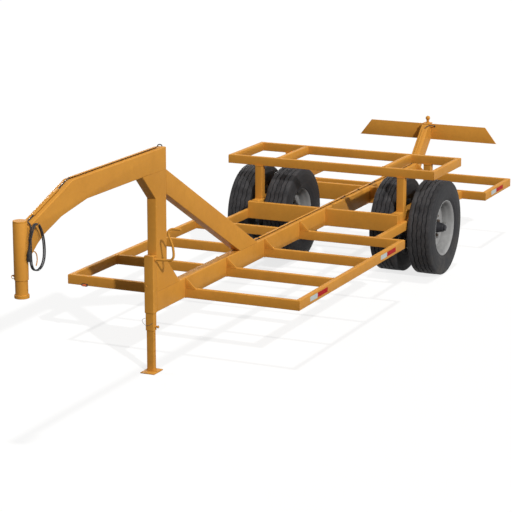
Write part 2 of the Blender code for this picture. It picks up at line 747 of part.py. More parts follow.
def build_jack():
    """A drop-leg jack: housing, sleeve, crank and pull pin in one, and the leg that slides in it."""
    bore_size = [width + 2 * JACK_CLEARANCE for width in JACK_LEG]
    housing = column("jack_housing", JACK_HOUSING, DECK_BOTTOM, DECK_TOP + JACK_TOP)
    sleeve = column("jack_sleeve", JACK_SLEEVE, DECK_TOP + SLEEVE_BOTTOM, DECK_TOP)
    combine(housing, sleeve, "UNION")
    route = [(x, y, DECK_TOP + height) for x, y, height in CRANK_ROUTE]
    crank = rod("jack_crank", route, CRANK_ROD_R, (0, JACK_STATION, 0))
    combine(housing, crank, "UNION")
    boss = [(0, JACK_BOSS_REACH), (JACK_BOSS_R, JACK_BOSS_REACH), (JACK_BOSS_R, -WELD_SEAT), (0, -WELD_SEAT)]
    crank_height = CRANK_ROUTE[0][2]
    combine(housing, side_fitting("crank_boss", boss, JACK_HOUSING[0] / 2, crank_height), "UNION")
    pin = side_fitting("pull_pin", pull_pin_profile(), JACK_SLEEVE[0] / 2, PULL_PIN_HEIGHT)
    combine(housing, pin, "UNION")
    bore = column("jack_bore", bore_size, DECK_TOP + SLEEVE_BOTTOM - DECK_TUBE_H,
                  DECK_TOP + JACK_TOP - JACK_CAP)
    combine(housing, bore, "DIFFERENCE")
    leg = column("jack_leg", JACK_LEG, FOOT_T / 2, DECK_TOP + LEG_TOP)
    foot = column("jack_foot", FOOT_SIZE, 0, FOOT_T)
    combine(leg, foot, "UNION")


# Tail

def build_tail():
    bottom = TAIL_TOP - TAIL_H
    outline = [(-TAIL_TOP_HALF, TAIL_TOP), (TAIL_TOP_HALF, TAIL_TOP),
               (TAIL_BOTTOM_HALF, bottom), (-TAIL_BOTTOM_HALF, bottom)]
    tail_plate = outline_solid("tail_plate", outline, "front", -(TAIL_STATION + TAIL_T), -TAIL_STATION)
    lamp = [(0, LAMP_DEPTH), (LAMP_R - LAMP_EDGE, LAMP_DEPTH), (LAMP_R, LAMP_DEPTH - LAMP_EDGE),
            (LAMP_R, -WELD_SEAT), (0, -WELD_SEAT)]
    for word, side in SIDES:
        place = (side * LAMP_CENTRE, TAIL_STATION + TAIL_T, TAIL_TOP - TAIL_H / 2)
        fitted = turned(f"tail_lamp_{word}", lamp, BALL_STEPS, place, "frame_paint", False,
                        (-pi / 2, 0, 0))
        combine(tail_plate, fitted, "UNION")
    seat = TAIL_TOP + FIT
    pad = box("hitch_ball", (-SPINE_SIDE, BALL_STATION - PAD_FRONT_REACH, seat),
              (SPINE_SIDE, REAR_END, seat + PAD_T))
    centre = BALL_SHOULDER_H + BALL_STEM_H + sqrt(BALL_R ** 2 - BALL_STEM_R ** 2)
    first = asin(BALL_FLAT_R / BALL_R)
    last = pi - asin(BALL_STEM_R / BALL_R)
    angles = [first + (last - first) * step / BALL_RINGS for step in range(BALL_RINGS + 1)]
    ball = [(BALL_R * sin(angle), centre + BALL_R * cos(angle)) for angle in angles]
    profile = [(0, ball[0][1])] + ball
    profile += [(BALL_STEM_R, BALL_SHOULDER_H), (BALL_SHOULDER_R, BALL_SHOULDER_H),
                (BALL_SHOULDER_R, -PAD_T / 2), (0, -PAD_T / 2)]
    knob = turned("ball", profile, BALL_STEPS, (0, BALL_STATION, seat + PAD_T), "frame_paint")
    combine(pad, knob, "UNION")


# Wire guard and lead

def build_conduit():
    """The channel on top of the neck that the lead comes out of."""
    stations = (CONDUIT_REAR, NECK_BEND_STATION, CONDUIT_FRONT)
    leans = (0, NECK_SLOPE / 2, NECK_SLOPE)
    lower = [(station, neck_top_at(station) + FIT) for station in stations]
    upper = [(station - CONDUIT_H * tan(lean), height + CONDUIT_H)
             for (station, height), lean in zip(lower[:2], leans)]
    upper.append((lower[2][0] - CONDUIT_H * sin(NECK_SLOPE), lower[2][1] + CONDUIT_H * cos(NECK_SLOPE)))
    outline_solid("wire_conduit", lower + upper[::-1], "side", -CONDUIT_W / 2, CONDUIT_W / 2)


def smooth_route(points, step):
    """Points along a smooth curve through a route's own points."""
    points = [Vector(point) for point in points]
    guides = [2 * points[0] - points[1]] + points + [2 * points[-1] - points[-2]]
    route = [points[0]]
    for before, start, end, after in zip(guides, guides[1:], guides[2:], guides[3:]):
        pieces = max(1, round((end - start).length / step))
        for piece in range(1, pieces + 1):
            t = piece / pieces
            route.append(0.5 * (2 * start + (end - before) * t
                                + (2 * before - 5 * start + 4 * end - after) * t ** 2
                                + (3 * start - before - 3 * end + after) * t ** 3))
    return route


def build_lead():
    """The trailer's lead: a free run, the hank it is folded into, and its plug."""
    route = [(x, station, DECK_TOP + height) for x, station, height in LEAD_ROUTE]
    rod("lead_run", smooth_route(route, LEAD_POINT_STEP), LEAD_R, (0, 0, 0), "lead_rubber")
    front, rear = HANK_STATION
    low, high = (DECK_TOP + height for height in HANK_HEIGHT)
    radius, middle = (rear - front) / 2, (front + rear) / 2
    outline = []
    for centre, start in ((high - radius, 0), (low + radius, pi)):
        for step in range(HANK_ARC_STEPS + 1):
            angle = start + pi * step / HANK_ARC_STEPS
            outline.append((middle + radius * cos(angle), centre + radius * sin(angle)))
    outline_solid("lead_hank", outline, "side", HANK_X[0], HANK_X[1], "lead_rubber")
    base = DECK_TOP + PLUG_BOTTOM
    turned("lead_plug", [(0, PLUG_H), (PLUG_R * 0.7, PLUG_H), (PLUG_R, PLUG_H * 0.7),
                         (PLUG_R, 0), (0, 0)],
           FITTING_STEPS, (PLUG_X, front - FIT - PLUG_R, base), "lead_rubber")


for word, side in SIDES:
    build_front_deck(word, side)
    build_rear_deck(word, side)
    build_bay(word, side)
    build_posts(word, side)
    build_axle(word, side)
build_rack()
build_wheels()
build_spine()
build_mast()
build_upright()
build_neck()
build_brace()
build_coupler()
build_jack()
build_tail()
build_conduit()
build_lead()
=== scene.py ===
"""Finish of a gooseneck bale trailer: welded tube frame, four truck wheels, drop-leg jack.

Metres, +Z up, front to -Y. Stations run rearward from the deck's front face, and heights
are over the deck's top, as in the trailer's own drawing.
"""
import bpy
import bmesh
import random
from math import asin, cos, hypot, pi, radians, sin, tan
from mathutils import Matrix, Vector


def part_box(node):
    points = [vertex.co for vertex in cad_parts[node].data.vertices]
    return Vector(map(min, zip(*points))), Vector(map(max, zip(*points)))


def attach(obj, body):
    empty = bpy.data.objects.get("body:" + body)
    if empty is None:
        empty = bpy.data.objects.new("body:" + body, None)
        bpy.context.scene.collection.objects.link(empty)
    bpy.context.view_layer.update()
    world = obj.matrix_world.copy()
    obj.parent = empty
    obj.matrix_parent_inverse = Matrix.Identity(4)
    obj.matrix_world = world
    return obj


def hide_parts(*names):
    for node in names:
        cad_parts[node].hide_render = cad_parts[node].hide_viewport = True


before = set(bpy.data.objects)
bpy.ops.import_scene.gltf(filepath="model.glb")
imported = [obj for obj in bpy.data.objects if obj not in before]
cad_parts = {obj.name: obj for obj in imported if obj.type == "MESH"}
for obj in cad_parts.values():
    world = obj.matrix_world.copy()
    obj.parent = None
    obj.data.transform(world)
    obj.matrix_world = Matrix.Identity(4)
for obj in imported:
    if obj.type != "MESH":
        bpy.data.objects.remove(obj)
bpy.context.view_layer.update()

# Sizes read from the frame
RAIL_LOW, RAIL_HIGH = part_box("deck_side_rail_left")
SPINE_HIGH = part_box("spine")[1]
DECK_FRONT = RAIL_LOW.y
DECK_BOTTOM, DECK_TOP = RAIL_LOW.z, RAIL_HIGH.z
HALF_WIDTH = RAIL_HIGH.x
TUBE_W = RAIL_HIGH.x - RAIL_LOW.x
SPINE_SIDE = SPINE_HIGH.x
SPINE_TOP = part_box("bay_side_member_left")[1].z
SIDES = (("left", 1), ("right", -1))
X, Y, Z = 0, 1, 2

# Tube corners, small roundings, the gap between touching pieces, and lengths that count as none
DECK_CORNER = 0.006
SPINE_CORNER = 0.008
PLATE_EDGE = 0.0015
CORNER_STEPS = 4
FIT = 0.0003
MERGE = 0.00001
NEAR = 0.0001

# Stations, heights and angles of the spine's line
SPINE_FRONT = -0.605
ELBOW = 6.610
MAST_ANGLE = radians(42)
UPRIGHT_REAR = -0.387
KNEE_REACH = 0.263
KNEE_DROP = 0.256
FOOT_GUSSET = 0.273
NECK_TOP = 1.497
NECK_BOTTOM = 1.279
NECK_BEND = -2.180
NECK_SLOPE = radians(19.4)
BRACE_ANGLE = radians(29)
BRACE_DEPTH = 0.216

# Welds
BEAD = 0.0042
BEAD_STEP = 0.0024
BEAD_SEAT = 0.0012
GROOVE_SEAT = 0.0038
SEAM = 0.62

# Wheels
TYRE_R = 0.551
TYRE_HALF = 0.1395
BEAD_R = 0.311
TYRE_STEPS = 180
WHEEL_STEPS = 96
STUD_CIRCLE = 0.1429
STUD_COUNT = 10


def at(x, station, height):
    """A point from its side, station and height over the deck."""
    return Vector((x, DECK_FRONT + station, DECK_TOP + height))


# Shader groups

def link_nodes(tree, *pairs):
    for source, target in pairs:
        tree.links.new(source, target)


def set_or_link(tree, socket, value):
    if isinstance(value, (int, float, tuple)):
        socket.default_value = value
    else:
        tree.links.new(value, socket)


def math_node(tree, operation, first, second=0.0, clamp=False):
    node = tree.nodes.new("ShaderNodeMath")
    node.operation = operation
    node.use_clamp = clamp
    for socket, value in zip(node.inputs, (first, second)):
        set_or_link(tree, socket, value)
    return node.outputs[0]


def times(tree, first, second):
    return math_node(tree, "MULTIPLY", first, second)


def noise_node(tree, vector, scale, detail=3.0, roughness=0.55):
    node = tree.nodes.new("ShaderNodeTexNoise")
    node.inputs["Scale"].default_value = scale
    node.inputs["Detail"].default_value = detail
    node.inputs["Roughness"].default_value = roughness
    tree.links.new(vector, node.inputs["Vector"])
    return node.outputs["Fac"]


def span_node(tree, value, low, high, to_low=0.0, to_high=1.0):
    node = tree.nodes.new("ShaderNodeMapRange")
    node.clamp = True
    for name, number in (("From Min", low), ("From Max", high), ("To Min", to_low), ("To Max", to_high)):
        node.inputs[name].default_value = number
    tree.links.new(value, node.inputs["Value"])
    return node.outputs["Result"]


def mix_colour(tree, share, first, second):
    node = tree.nodes.new("ShaderNodeMix")
    node.data_type = "RGBA"
    for socket, value in ((node.inputs["Factor"], share), (node.inputs[6], first), (node.inputs[7], second)):
        set_or_link(tree, socket, value)
    return node.outputs[2]


def bump_node(tree, height, strength, distance):
    node = tree.nodes.new("ShaderNodeBump")
    node.inputs["Strength"].default_value = strength
    node.inputs["Distance"].default_value = distance
    tree.links.new(height, node.inputs["Height"])
    return node.outputs["Normal"]


def masked_mix(tree, mask, amount, first, second):
    """The second colour over the first where a mask is, up to an amount."""
    return mix_colour(tree, times(tree, mask, amount), first, second)


def new_group(name, inputs, outputs):
    """A shader group with named sockets: its tree, its input node and its output node."""
    tree = bpy.data.node_groups.new(name, "ShaderNodeTree")
    for label, kind, value in inputs:
        socket = tree.interface.new_socket(label, in_out="INPUT", socket_type=kind)
        if value is not None:
            socket.default_value = value
    for label, kind in outputs:
        tree.interface.new_socket(label, in_out="OUTPUT", socket_type=kind)
    return tree, tree.nodes.new("NodeGroupInput"), tree.nodes.new("NodeGroupOutput")


def make_weather_group():
    """Tone drift, grime patches that grow towards the bottom, and fine specks, as masks over the surface."""
    tree, given, made = new_group(
        "weather",
        [("Position", "NodeSocketVector", None), ("Drift", "NodeSocketFloat", 1.0)],
        [("Tone", "NodeSocketFloat"), ("Grime", "NodeSocketFloat"), ("Speck", "NodeSocketFloat")],
    )
    position = given.outputs["Position"]
    broad = noise_node(tree, position, 1.7, 4.0)
    fine = noise_node(tree, position, 22.0, 4.0, 0.6)
    tone = math_node(tree, "ADD", times(tree, broad, 0.65), times(tree, fine, 0.35))
    drifted = times(tree, math_node(tree, "SUBTRACT", tone, 0.5), given.outputs["Drift"])
    split = tree.nodes.new("ShaderNodeSeparateXYZ")
    tree.links.new(position, split.inputs[0])
    low = span_node(tree, split.outputs["Z"], 0.0, 0.75, 1.0, 0.0)
    patches = span_node(tree, noise_node(tree, position, 6.0, 5.0, 0.65), 0.46, 0.72)
    grime = math_node(tree, "MULTIPLY", patches, math_node(tree, "ADD", low, 0.25), clamp=True)
    speck = span_node(tree, noise_node(tree, position, 160.0, 2.0), 0.63, 0.70)
    link_nodes(tree, (math_node(tree, "ADD", drifted, 0.5), made.inputs["Tone"]),
               (grime, made.inputs["Grime"]), (speck, made.inputs["Speck"]))
    return tree


def make_edge_group():
    """Where a rounded edge takes the paint's edge colour, wear on the grey and black paints and a painted
    highlight on the ochre: the piece's own edge mark, broken up by noise.
    """
    tree, given, made = new_group(
        "edge_wear_and_highlight",
        [("Position", "NodeSocketVector", None), ("Reach", "NodeSocketFloat", 0.5)],
        [("WearAndHighlight", "NodeSocketFloat")],
    )
    mark = tree.nodes.new("ShaderNodeAttribute")
    mark.attribute_name = "edge"
    # The edge colour is laid where this mask is: wear on the grey and black paints, a painted highlight on
    # the ochre.
    edge_breakup = noise_node(tree, given.outputs["Position"], 38.0, 6.0, 0.7)
    level = math_node(tree, "SUBTRACT", edge_breakup, math_node(tree, "SUBTRACT", 1.0, given.outputs["Reach"]))
    wear_and_highlight = math_node(tree, "MULTIPLY", span_node(tree, level, 0.0, 0.08), mark.outputs["Fac"], clamp=True)
    tree.links.new(wear_and_highlight, made.inputs["WearAndHighlight"])
    return tree


def make_enamel_group():
    """Sprayed enamel's skin: a fine orange peel over slow waves in the sheet."""
    tree, given, made = new_group(
        "enamel_skin",
        [("Position", "NodeSocketVector", None), ("Depth", "NodeSocketFloat", 1.0)],
        [("Height", "NodeSocketFloat")],
    )
    peel = noise_node(tree, given.outputs["Position"], 420.0, 2.0)
    wave = noise_node(tree, given.outputs["Position"], 9.0, 2.0)
    height = math_node(tree, "ADD", times(tree, peel, 0.25), wave)
    tree.links.new(times(tree, height, given.outputs["Depth"]), made.inputs["Height"])
    return tree


WEATHER = make_weather_group()
EDGE_WEAR_AND_HIGHLIGHT = make_edge_group()
ENAMEL = make_enamel_group()


def new_paint(name):
    """A material with its tree, its shader and its object position."""
    paint = bpy.data.materials.new(name)
    paint.use_nodes = True
    tree = paint.node_tree
    place = tree.nodes.new("ShaderNodeTexCoord")
    return paint, tree, tree.nodes["Principled BSDF"], place.outputs["Object"]


def use_group(tree, group, position, **values):
    node = tree.nodes.new("ShaderNodeGroup")
    node.node_tree = group
    tree.links.new(position, node.inputs["Position"])
    for name, value in values.items():
        node.inputs[name].default_value = value
    return node


ENAMEL_SHEEN = 0.10
RUBBER_SHEEN = 0.2
TREAD_DUST = (0.130, 0.112, 0.088, 1)
RUBBER_DUST = (0.12, 0.10, 0.08, 1)
METAL_GRIME = (0.07, 0.045, 0.03, 1)
TAPE_DUST = (0.20, 0.14, 0.09, 1)
MOULD_RING_PITCH = 0.0042
TAPE_CELL_SCALE = 190.0
LENS_FLUTE_SCALE = 90.0


def finish_paint(tree, shader, colour, roughness, normal):
    link_nodes(tree, (colour, shader.inputs["Base Color"]), (roughness, shader.inputs["Roughness"]),
               (normal, shader.inputs["Normal"]))


def make_enamel(name, dark, light, worn_and_lit_edge, grime, roughness=0.50, wear_and_highlight=0.42):
    """Painted steel: two tones of the paint, an edge colour on rounded edges (wear on the grey and black
    paints, a painted highlight on the ochre) and a little dirt.
    """
    paint, tree, shader, position = new_paint(name)
    weather = use_group(tree, WEATHER, position, Drift=1.6)
    edge = use_group(tree, EDGE_WEAR_AND_HIGHLIGHT, position, Reach=wear_and_highlight)
    skin = use_group(tree, ENAMEL, position, Depth=1.0)
    base = mix_colour(tree, span_node(tree, weather.outputs["Tone"], 0.2, 0.8), dark, light)
    # The edge colour over the paint: on the ochre a lighter ochre, a painted highlight along the rounded
    # edges; on the rim grey and axle black, wear.
    edge_worn_and_lit = masked_mix(tree, edge.outputs["WearAndHighlight"], 0.6, base, worn_and_lit_edge)
    dirty = masked_mix(tree, weather.outputs["Grime"], 0.30, edge_worn_and_lit, grime)
    flecked = masked_mix(tree, weather.outputs["Speck"], 0.18, dirty, grime)
    gloss = span_node(tree, weather.outputs["Tone"], 0.2, 0.8, roughness - 0.05, roughness + 0.07)
    rough = math_node(tree, "ADD", gloss, times(tree, weather.outputs["Grime"], 0.25), clamp=True)
    finish_paint(tree, shader, flecked, rough, bump_node(tree, skin.outputs["Height"], 0.35, 0.0012))
    shader.inputs["Specular IOR Level"].default_value = ENAMEL_SHEEN
    return paint


def wheel_radius(tree, position):
    """Distance from the wheels' common axis line."""
    centre = tree.nodes.new("ShaderNodeMapping")
    centre.inputs["Location"].default_value = (0.0, -WHEEL_Y, -WHEEL_Z)
    flat = tree.nodes.new("ShaderNodeVectorMath")
    flat.operation = "MULTIPLY"
    flat.inputs[1].default_value = (0.0, 1.0, 1.0)
    size = tree.nodes.new("ShaderNodeVectorMath")
    size.operation = "LENGTH"
    link_nodes(tree, (position, centre.inputs["Vector"]), (centre.outputs[0], flat.inputs[0]),
               (flat.outputs[0], size.inputs[0]))
    return size.outputs["Value"]


def make_tyre_rubber():
    """Tyre rubber: grey scuffed tread faces, dark grooves, a sidewall with fine moulded rings."""
    paint, tree, shader, position = new_paint("tyre_rubber_finish")
    radius = wheel_radius(tree, position)
    weather = use_group(tree, WEATHER, position, Drift=1.4)
    tread = span_node(tree, radius, TYRE_R - 0.009, TYRE_R - 0.003)
    scuff = span_node(tree, noise_node(tree, position, 14.0, 5.0, 0.65), 0.35, 0.75)
    base = mix_colour(tree, weather.outputs["Tone"], (0.020, 0.020, 0.022, 1), (0.031, 0.031, 0.034, 1))
    faces = masked_mix(tree, tread, scuff, base, (0.062, 0.060, 0.063, 1))
    dusty = masked_mix(tree, weather.outputs["Grime"], 0.22, faces, TREAD_DUST)
    rings = math_node(tree, "SINE", times(tree, radius, 2 * pi / MOULD_RING_PITCH))
    wall = math_node(tree, "SUBTRACT", 1.0, span_node(tree, radius, 0.50, 0.52))
    grain = noise_node(tree, position, 340.0, 3.0, 0.6)
    height = math_node(tree, "ADD", times(tree, times(tree, rings, wall), 0.10), times(tree, grain, 0.55))
    rough = span_node(tree, weather.outputs["Tone"], 0.2, 0.8, 0.62, 0.80)
    finish_paint(tree, shader, dusty, rough, bump_node(tree, height, 0.5, 0.0016))
    shader.inputs["Specular IOR Level"].default_value = RUBBER_SHEEN
    return paint


def make_rubber(name, dark, light, roughness):
    """Moulded or extruded black rubber for the lead, plug and grommets."""
    paint, tree, shader, position = new_paint(name)
    weather = use_group(tree, WEATHER, position, Drift=1.5)
    base = mix_colour(tree, weather.outputs["Tone"], dark, light)
    dusty = masked_mix(tree, weather.outputs["Grime"], 0.18, base, RUBBER_DUST)
    grain = noise_node(tree, position, 700.0, 2.0)
    rough = span_node(tree, weather.outputs["Tone"], 0.2, 0.8, roughness - 0.07, roughness + 0.07)
    finish_paint(tree, shader, dusty, rough, bump_node(tree, grain, 0.3, 0.0006))
    shader.inputs["Specular IOR Level"].default_value = RUBBER_SHEEN
    return paint


def make_metal(name, dark, light, roughness, scale):
    """Bare or plated steel with a drawn grain and dull patches."""
    paint, tree, shader, position = new_paint(name)
    weather = use_group(tree, WEATHER, position, Drift=1.8)
    streaks = noise_node(tree, position, scale, 4.0, 0.7)
    base = masked_mix(tree, streaks, weather.outputs["Tone"], dark, light)
    grimy = masked_mix(tree, weather.outputs["Grime"], 0.35, base, METAL_GRIME)
    rough = span_node(tree, streaks, 0.3, 0.7, roughness - 0.08, roughness + 0.12)
    finish_paint(tree, shader, grimy, rough, bump_node(tree, streaks, 0.25, 0.0006))
    shader.inputs["Metallic"].default_value = 0.9
    return paint


def make_tape():
    """Prismatic marking tape, white then red, with its small cell pattern."""
    paint, tree, shader, position = new_paint("marking_tape")
    mark = tree.nodes.new("ShaderNodeAttribute")
    mark.attribute_name = "red"
    cells = tree.nodes.new("ShaderNodeTexVoronoi")
    cells.feature = "DISTANCE_TO_EDGE"
    cells.inputs["Scale"].default_value = TAPE_CELL_SCALE
    cells.inputs["Randomness"].default_value = 0.0
    tree.links.new(position, cells.inputs["Vector"])
    seam = span_node(tree, cells.outputs["Distance"], 0.03, 0.10)
    weather = use_group(tree, WEATHER, position, Drift=1.0)
    white = mix_colour(tree, seam, (0.40, 0.44, 0.44, 1), (0.56, 0.62, 0.62, 1))
    red = mix_colour(tree, seam, (0.30, 0.003, 0.005, 1), (0.44, 0.004, 0.007, 1))
    face = mix_colour(tree, mark.outputs["Fac"], white, red)
    dusty = masked_mix(tree, weather.outputs["Grime"], 0.25, face, TAPE_DUST)
    rough = span_node(tree, seam, 0.0, 1.0, 0.70, 0.55)
    finish_paint(tree, shader, dusty, rough, bump_node(tree, seam, 0.3, 0.0004))
    shader.inputs["Specular IOR Level"].default_value = ENAMEL_SHEEN
    return paint


def make_lens(name, deep, pale):
    """Moulded lamp lens with fine flutes under a gloss."""
    paint, tree, shader, position = new_paint(name)
    flutes = tree.nodes.new("ShaderNodeTexWave")
    flutes.bands_direction = "X"
    flutes.inputs["Scale"].default_value = LENS_FLUTE_SCALE
    tree.links.new(position, flutes.inputs["Vector"])
    depth = flutes.outputs["Fac"]
    finish_paint(tree, shader, mix_colour(tree, depth, deep, pale),
                 span_node(tree, depth, 0.0, 1.0, 0.16, 0.26), bump_node(tree, depth, 0.4, 0.0010))
    shader.inputs["Coat Weight"].default_value = 0.5
    return paint


def linear(red, green, blue):
    """A display colour, 0 to 255, as the linear colour that a shader takes."""
    def one(value):
        share = value / 255
        return share / 12.92 if share <= 0.04045 else ((share + 0.055) / 1.055) ** 2.4
    return (one(red), one(green), one(blue), 1.0)


WHEEL_LOW, WHEEL_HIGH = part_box("tyre_left_outer")
WHEEL_Y = (WHEEL_LOW.y + WHEEL_HIGH.y) / 2
WHEEL_Z = (WHEEL_LOW.z + WHEEL_HIGH.z) / 2

# The fourth colour of each ochre paint is a lighter ochre for the rounded edges: a painted highlight, given
# no reach in the weld paint.
OCHRE = make_enamel("ochre_enamel", linear(198, 136, 54), linear(210, 148, 61),
                    linear(228, 172, 92), linear(96, 74, 48))
WELD_OCHRE = make_enamel("ochre_weld", linear(176, 118, 44), linear(200, 138, 56),
                         linear(222, 164, 84), linear(84, 62, 40), wear_and_highlight=0.0)
RIM_GREY = make_enamel("rim_grey", linear(140, 141, 142), linear(166, 166, 166),
                       linear(132, 126, 118), linear(88, 78, 68), roughness=0.38, wear_and_highlight=0.45)
AXLE_BLACK = make_enamel("axle_black", linear(42, 42, 45), linear(56, 56, 60),
                         linear(110, 96, 84), linear(78, 66, 54), wear_and_highlight=0.45)
TYRE = make_tyre_rubber()
LEAD_RUBBER = make_rubber("lead_rubber_finish", (0.022, 0.022, 0.025, 1), (0.036, 0.036, 0.040, 1), 0.52)
ZINC = make_metal("zinc_plate", (0.36, 0.35, 0.32, 1), (0.66, 0.64, 0.58, 1), 0.36, 60.0)
HUB_STEEL = make_metal("hub_steel", (0.10, 0.075, 0.06, 1), (0.22, 0.17, 0.14, 1), 0.50, 50.0)
TAPE = make_tape()
RED_LENS = make_lens("red_lens", (0.36, 0.006, 0.006, 1), (0.55, 0.015, 0.012, 1))
AMBER_LENS = make_lens("amber_lens", (0.70, 0.10, 0.010, 1), (0.85, 0.17, 0.020, 1))


# Making pieces

def add_object(name, work):
    """A shape as an object in the scene, at the origin."""
    mesh = bpy.data.meshes.new(name)
    work.to_mesh(mesh)
    work.free()
    thing = bpy.data.objects.new(name, mesh)
    bpy.context.scene.collection.objects.link(thing)
    return thing


def new_piece(name, work, paint, body="chassis", angle=35):
    """Finish a shape as a piece that rides on a body."""
    piece = add_object(name, work)
    mesh = piece.data
    mesh.materials.append(paint)
    mesh.shade_smooth()
    mesh.set_sharp_from_angle(angle=radians(angle))
    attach(piece, body)
    return piece


def frame_piece(name, work, node=None, body="chassis"):
    """A piece in the frame's paint, in place of a solid where node names one."""
    piece = new_piece(name, work, OCHRE, body)
    if node:
        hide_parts(node)
    return piece


def new_shape():
    """An empty shape that can carry the edge mark."""
    work = bmesh.new()
    work.faces.layers.float.new("edge")
    return work


def join_in(work, part, matrix=Matrix()):
    """Add a finished shape to another, in its place."""
    bmesh.ops.transform(part, matrix=matrix, verts=part.verts)
    mesh = bpy.data.meshes.new("part")
    part.to_mesh(mesh)
    part.free()
    work.from_mesh(mesh)
    bpy.data.meshes.remove(mesh)


def joined(parts):
    work = new_shape()
    for part in parts:
        join_in(work, part)
    return work


def round_edges(work, edges, width, steps):
    """Round edges and mark the new faces as edge, where the paint lays its edge colour: wear on the grey and
    black paints and a painted highlight on the ochre.
    """
    mark = work.faces.layers.float["edge"]
    done = bmesh.ops.bevel(work, geom=edges, offset=width, offset_type="OFFSET", affect="EDGES",
                           segments=steps, profile=0.5, material=-1, clamp_overlap=True)
    for face in done["faces"]:
        face[mark] = 1.0


def block(low, high, edge=0.0, steps=2):
    """A block between two corners, all its edges rounded where edge is given."""
    work = new_shape()
    bmesh.ops.create_cube(work, size=1.0)
    bmesh.ops.scale(work, vec=Vector(high) - Vector(low), verts=work.verts)
    bmesh.ops.translate(work, vec=(Vector(high) + Vector(low)) / 2, verts=work.verts)
    if edge:
        round_edges(work, work.edges[:], edge, steps)
    return work


def tube(low, high, axis, corner):
    """A rectangular tube with rounded long corners."""
    work = block(low, high)
    long_edges = [edge for edge in work.edges
                  if abs((edge.verts[0].co - edge.verts[1].co).normalized()[axis]) > 0.99]
    round_edges(work, long_edges, corner, CORNER_STEPS)
    return work


def cut_end(work, point, outward):
    """Cut a closed shape by a plane, drop what lies outward and close the cut."""
    geom = work.verts[:] + work.edges[:] + work.faces[:]
    cut = bmesh.ops.bisect_plane(work, geom=geom, plane_co=point, plane_no=outward,
                                 clear_outer=True, dist=MERGE)
    rim = [item for item in cut["geom_cut"] if isinstance(item, bmesh.types.BMEdge)]
    bmesh.ops.holes_fill(work, edges=rim, sides=0)


AXIS_TURNS = {
    "Z": Matrix.Identity(4),
    "X": Matrix.Rotation(pi / 2, 4, "Y"),
    "-X": Matrix.Rotation(-pi / 2, 4, "Y"),
    "Y": Matrix.Rotation(-pi / 2, 4, "X"),
    "-Y": Matrix.Rotation(pi / 2, 4, "X"),
}


def spin_closed(work, line, axis, steps):
    """Spin a line the whole way round an axis through the origin, into one closed skin."""
    bmesh.ops.spin(work, geom=line, cent=(0, 0, 0), axis=axis, dvec=(0, 0, 0),
                   angle=2 * pi, steps=steps, use_merge=True, use_duplicate=False)
    bmesh.ops.remove_doubles(work, verts=work.verts, dist=MERGE)
    bmesh.ops.recalc_face_normals(work, faces=work.faces)


def turned(profile, steps, centre=(0, 0, 0), axis="Z"):
    """A profile of radii and distances spun round an axis through centre."""
    work = new_shape()
    verts = [work.verts.new((radius, 0, along)) for radius, along in profile]
    edges = [work.edges.new(pair) for pair in zip(verts, verts[1:])]
    spin_closed(work, verts + edges, (0, 0, 1), steps)
    bmesh.ops.transform(work, matrix=Matrix.Translation(centre) @ AXIS_TURNS[axis], verts=work.verts)
    return work


def plate(outline, across, low, high, edge=0.0):
    """A flat outline given a thickness across one axis; its points are along the other two, in order."""
    work = new_shape()
    verts = []
    for point in outline:
        place = list(point)
        place.insert(across, low)
        verts.append(work.verts.new(place))
    face = work.faces.new(verts)
    grown = bmesh.ops.extrude_face_region(work, geom=[face])["geom"]
    moved = [item for item in grown if isinstance(item, bmesh.types.BMVert)]
    shift = Vector((0, 0, 0))
    shift[across] = high - low
    bmesh.ops.translate(work, vec=shift, verts=moved)
    bmesh.ops.recalc_face_normals(work, faces=work.faces)
    if edge:
        round_edges(work, work.edges[:], edge, 2)
    return work


def hex_nut(foot_r, top_r, height, edge):
    """A hexagonal nut about Z, its middle at the origin."""
    nut = new_shape()
    bmesh.ops.create_cone(nut, cap_ends=True, segments=6, radius1=foot_r, radius2=top_r, depth=height)
    round_edges(nut, nut.edges[:], edge, 2)
    return nut


def tube_run(name, paths, radius, paint, body="chassis", sides=6):
    """Round wires or rods along paths, as one mesh piece."""
    curve = bpy.data.curves.new(name, "CURVE")
    curve.dimensions = "3D"
    curve.bevel_depth = radius
    curve.bevel_resolution = sides // 2 - 2
    curve.use_fill_caps = True
    for path in paths:
        spline = curve.splines.new("POLY")
        spline.points.add(len(path) - 1)
        for point, entry in zip(spline.points, path):
            point.co = (*entry[:3], 1)
            point.radius = entry[3] if len(entry) > 3 else 1.0
    holder = bpy.data.objects.new(name + "_line", curve)
    bpy.context.scene.collection.objects.link(holder)
    bpy.context.view_layer.update()
    shaped = holder.evaluated_get(bpy.context.evaluated_depsgraph_get())
    mesh = bpy.data.meshes.new_from_object(shaped)
    bpy.data.objects.remove(holder, do_unlink=True)
    work = bmesh.new()
    work.from_mesh(mesh)
    bmesh.ops.remove_doubles(work, verts=work.verts, dist=2 * MERGE)
    return new_piece(name, work, paint, body, 60)


def frame_rod(name, path, radius, sides):
    """A rod in the frame's paint."""
    return tube_run(name, [path], radius, OCHRE, sides=sides)


def smooth_path(points, step):
    """Points along a smooth curve through a path's own points."""
    points = [Vector(point) for point in points]
    guides = [2 * points[0] - points[1]] + points + [2 * points[-1] - points[-2]]
    route = [points[0]]
    for before, start, end, after in zip(guides, guides[1:], guides[2:], guides[3:]):
        pieces = max(1, round((end - start).length / step))
        for piece in range(1, pieces + 1):
            t = piece / pieces
            route.append(0.5 * (2 * start + (end - before) * t
                                + (2 * before - 5 * start + 4 * end - after) * t ** 2
                                + (3 * start - before - 3 * end + after) * t ** 3))
    return route


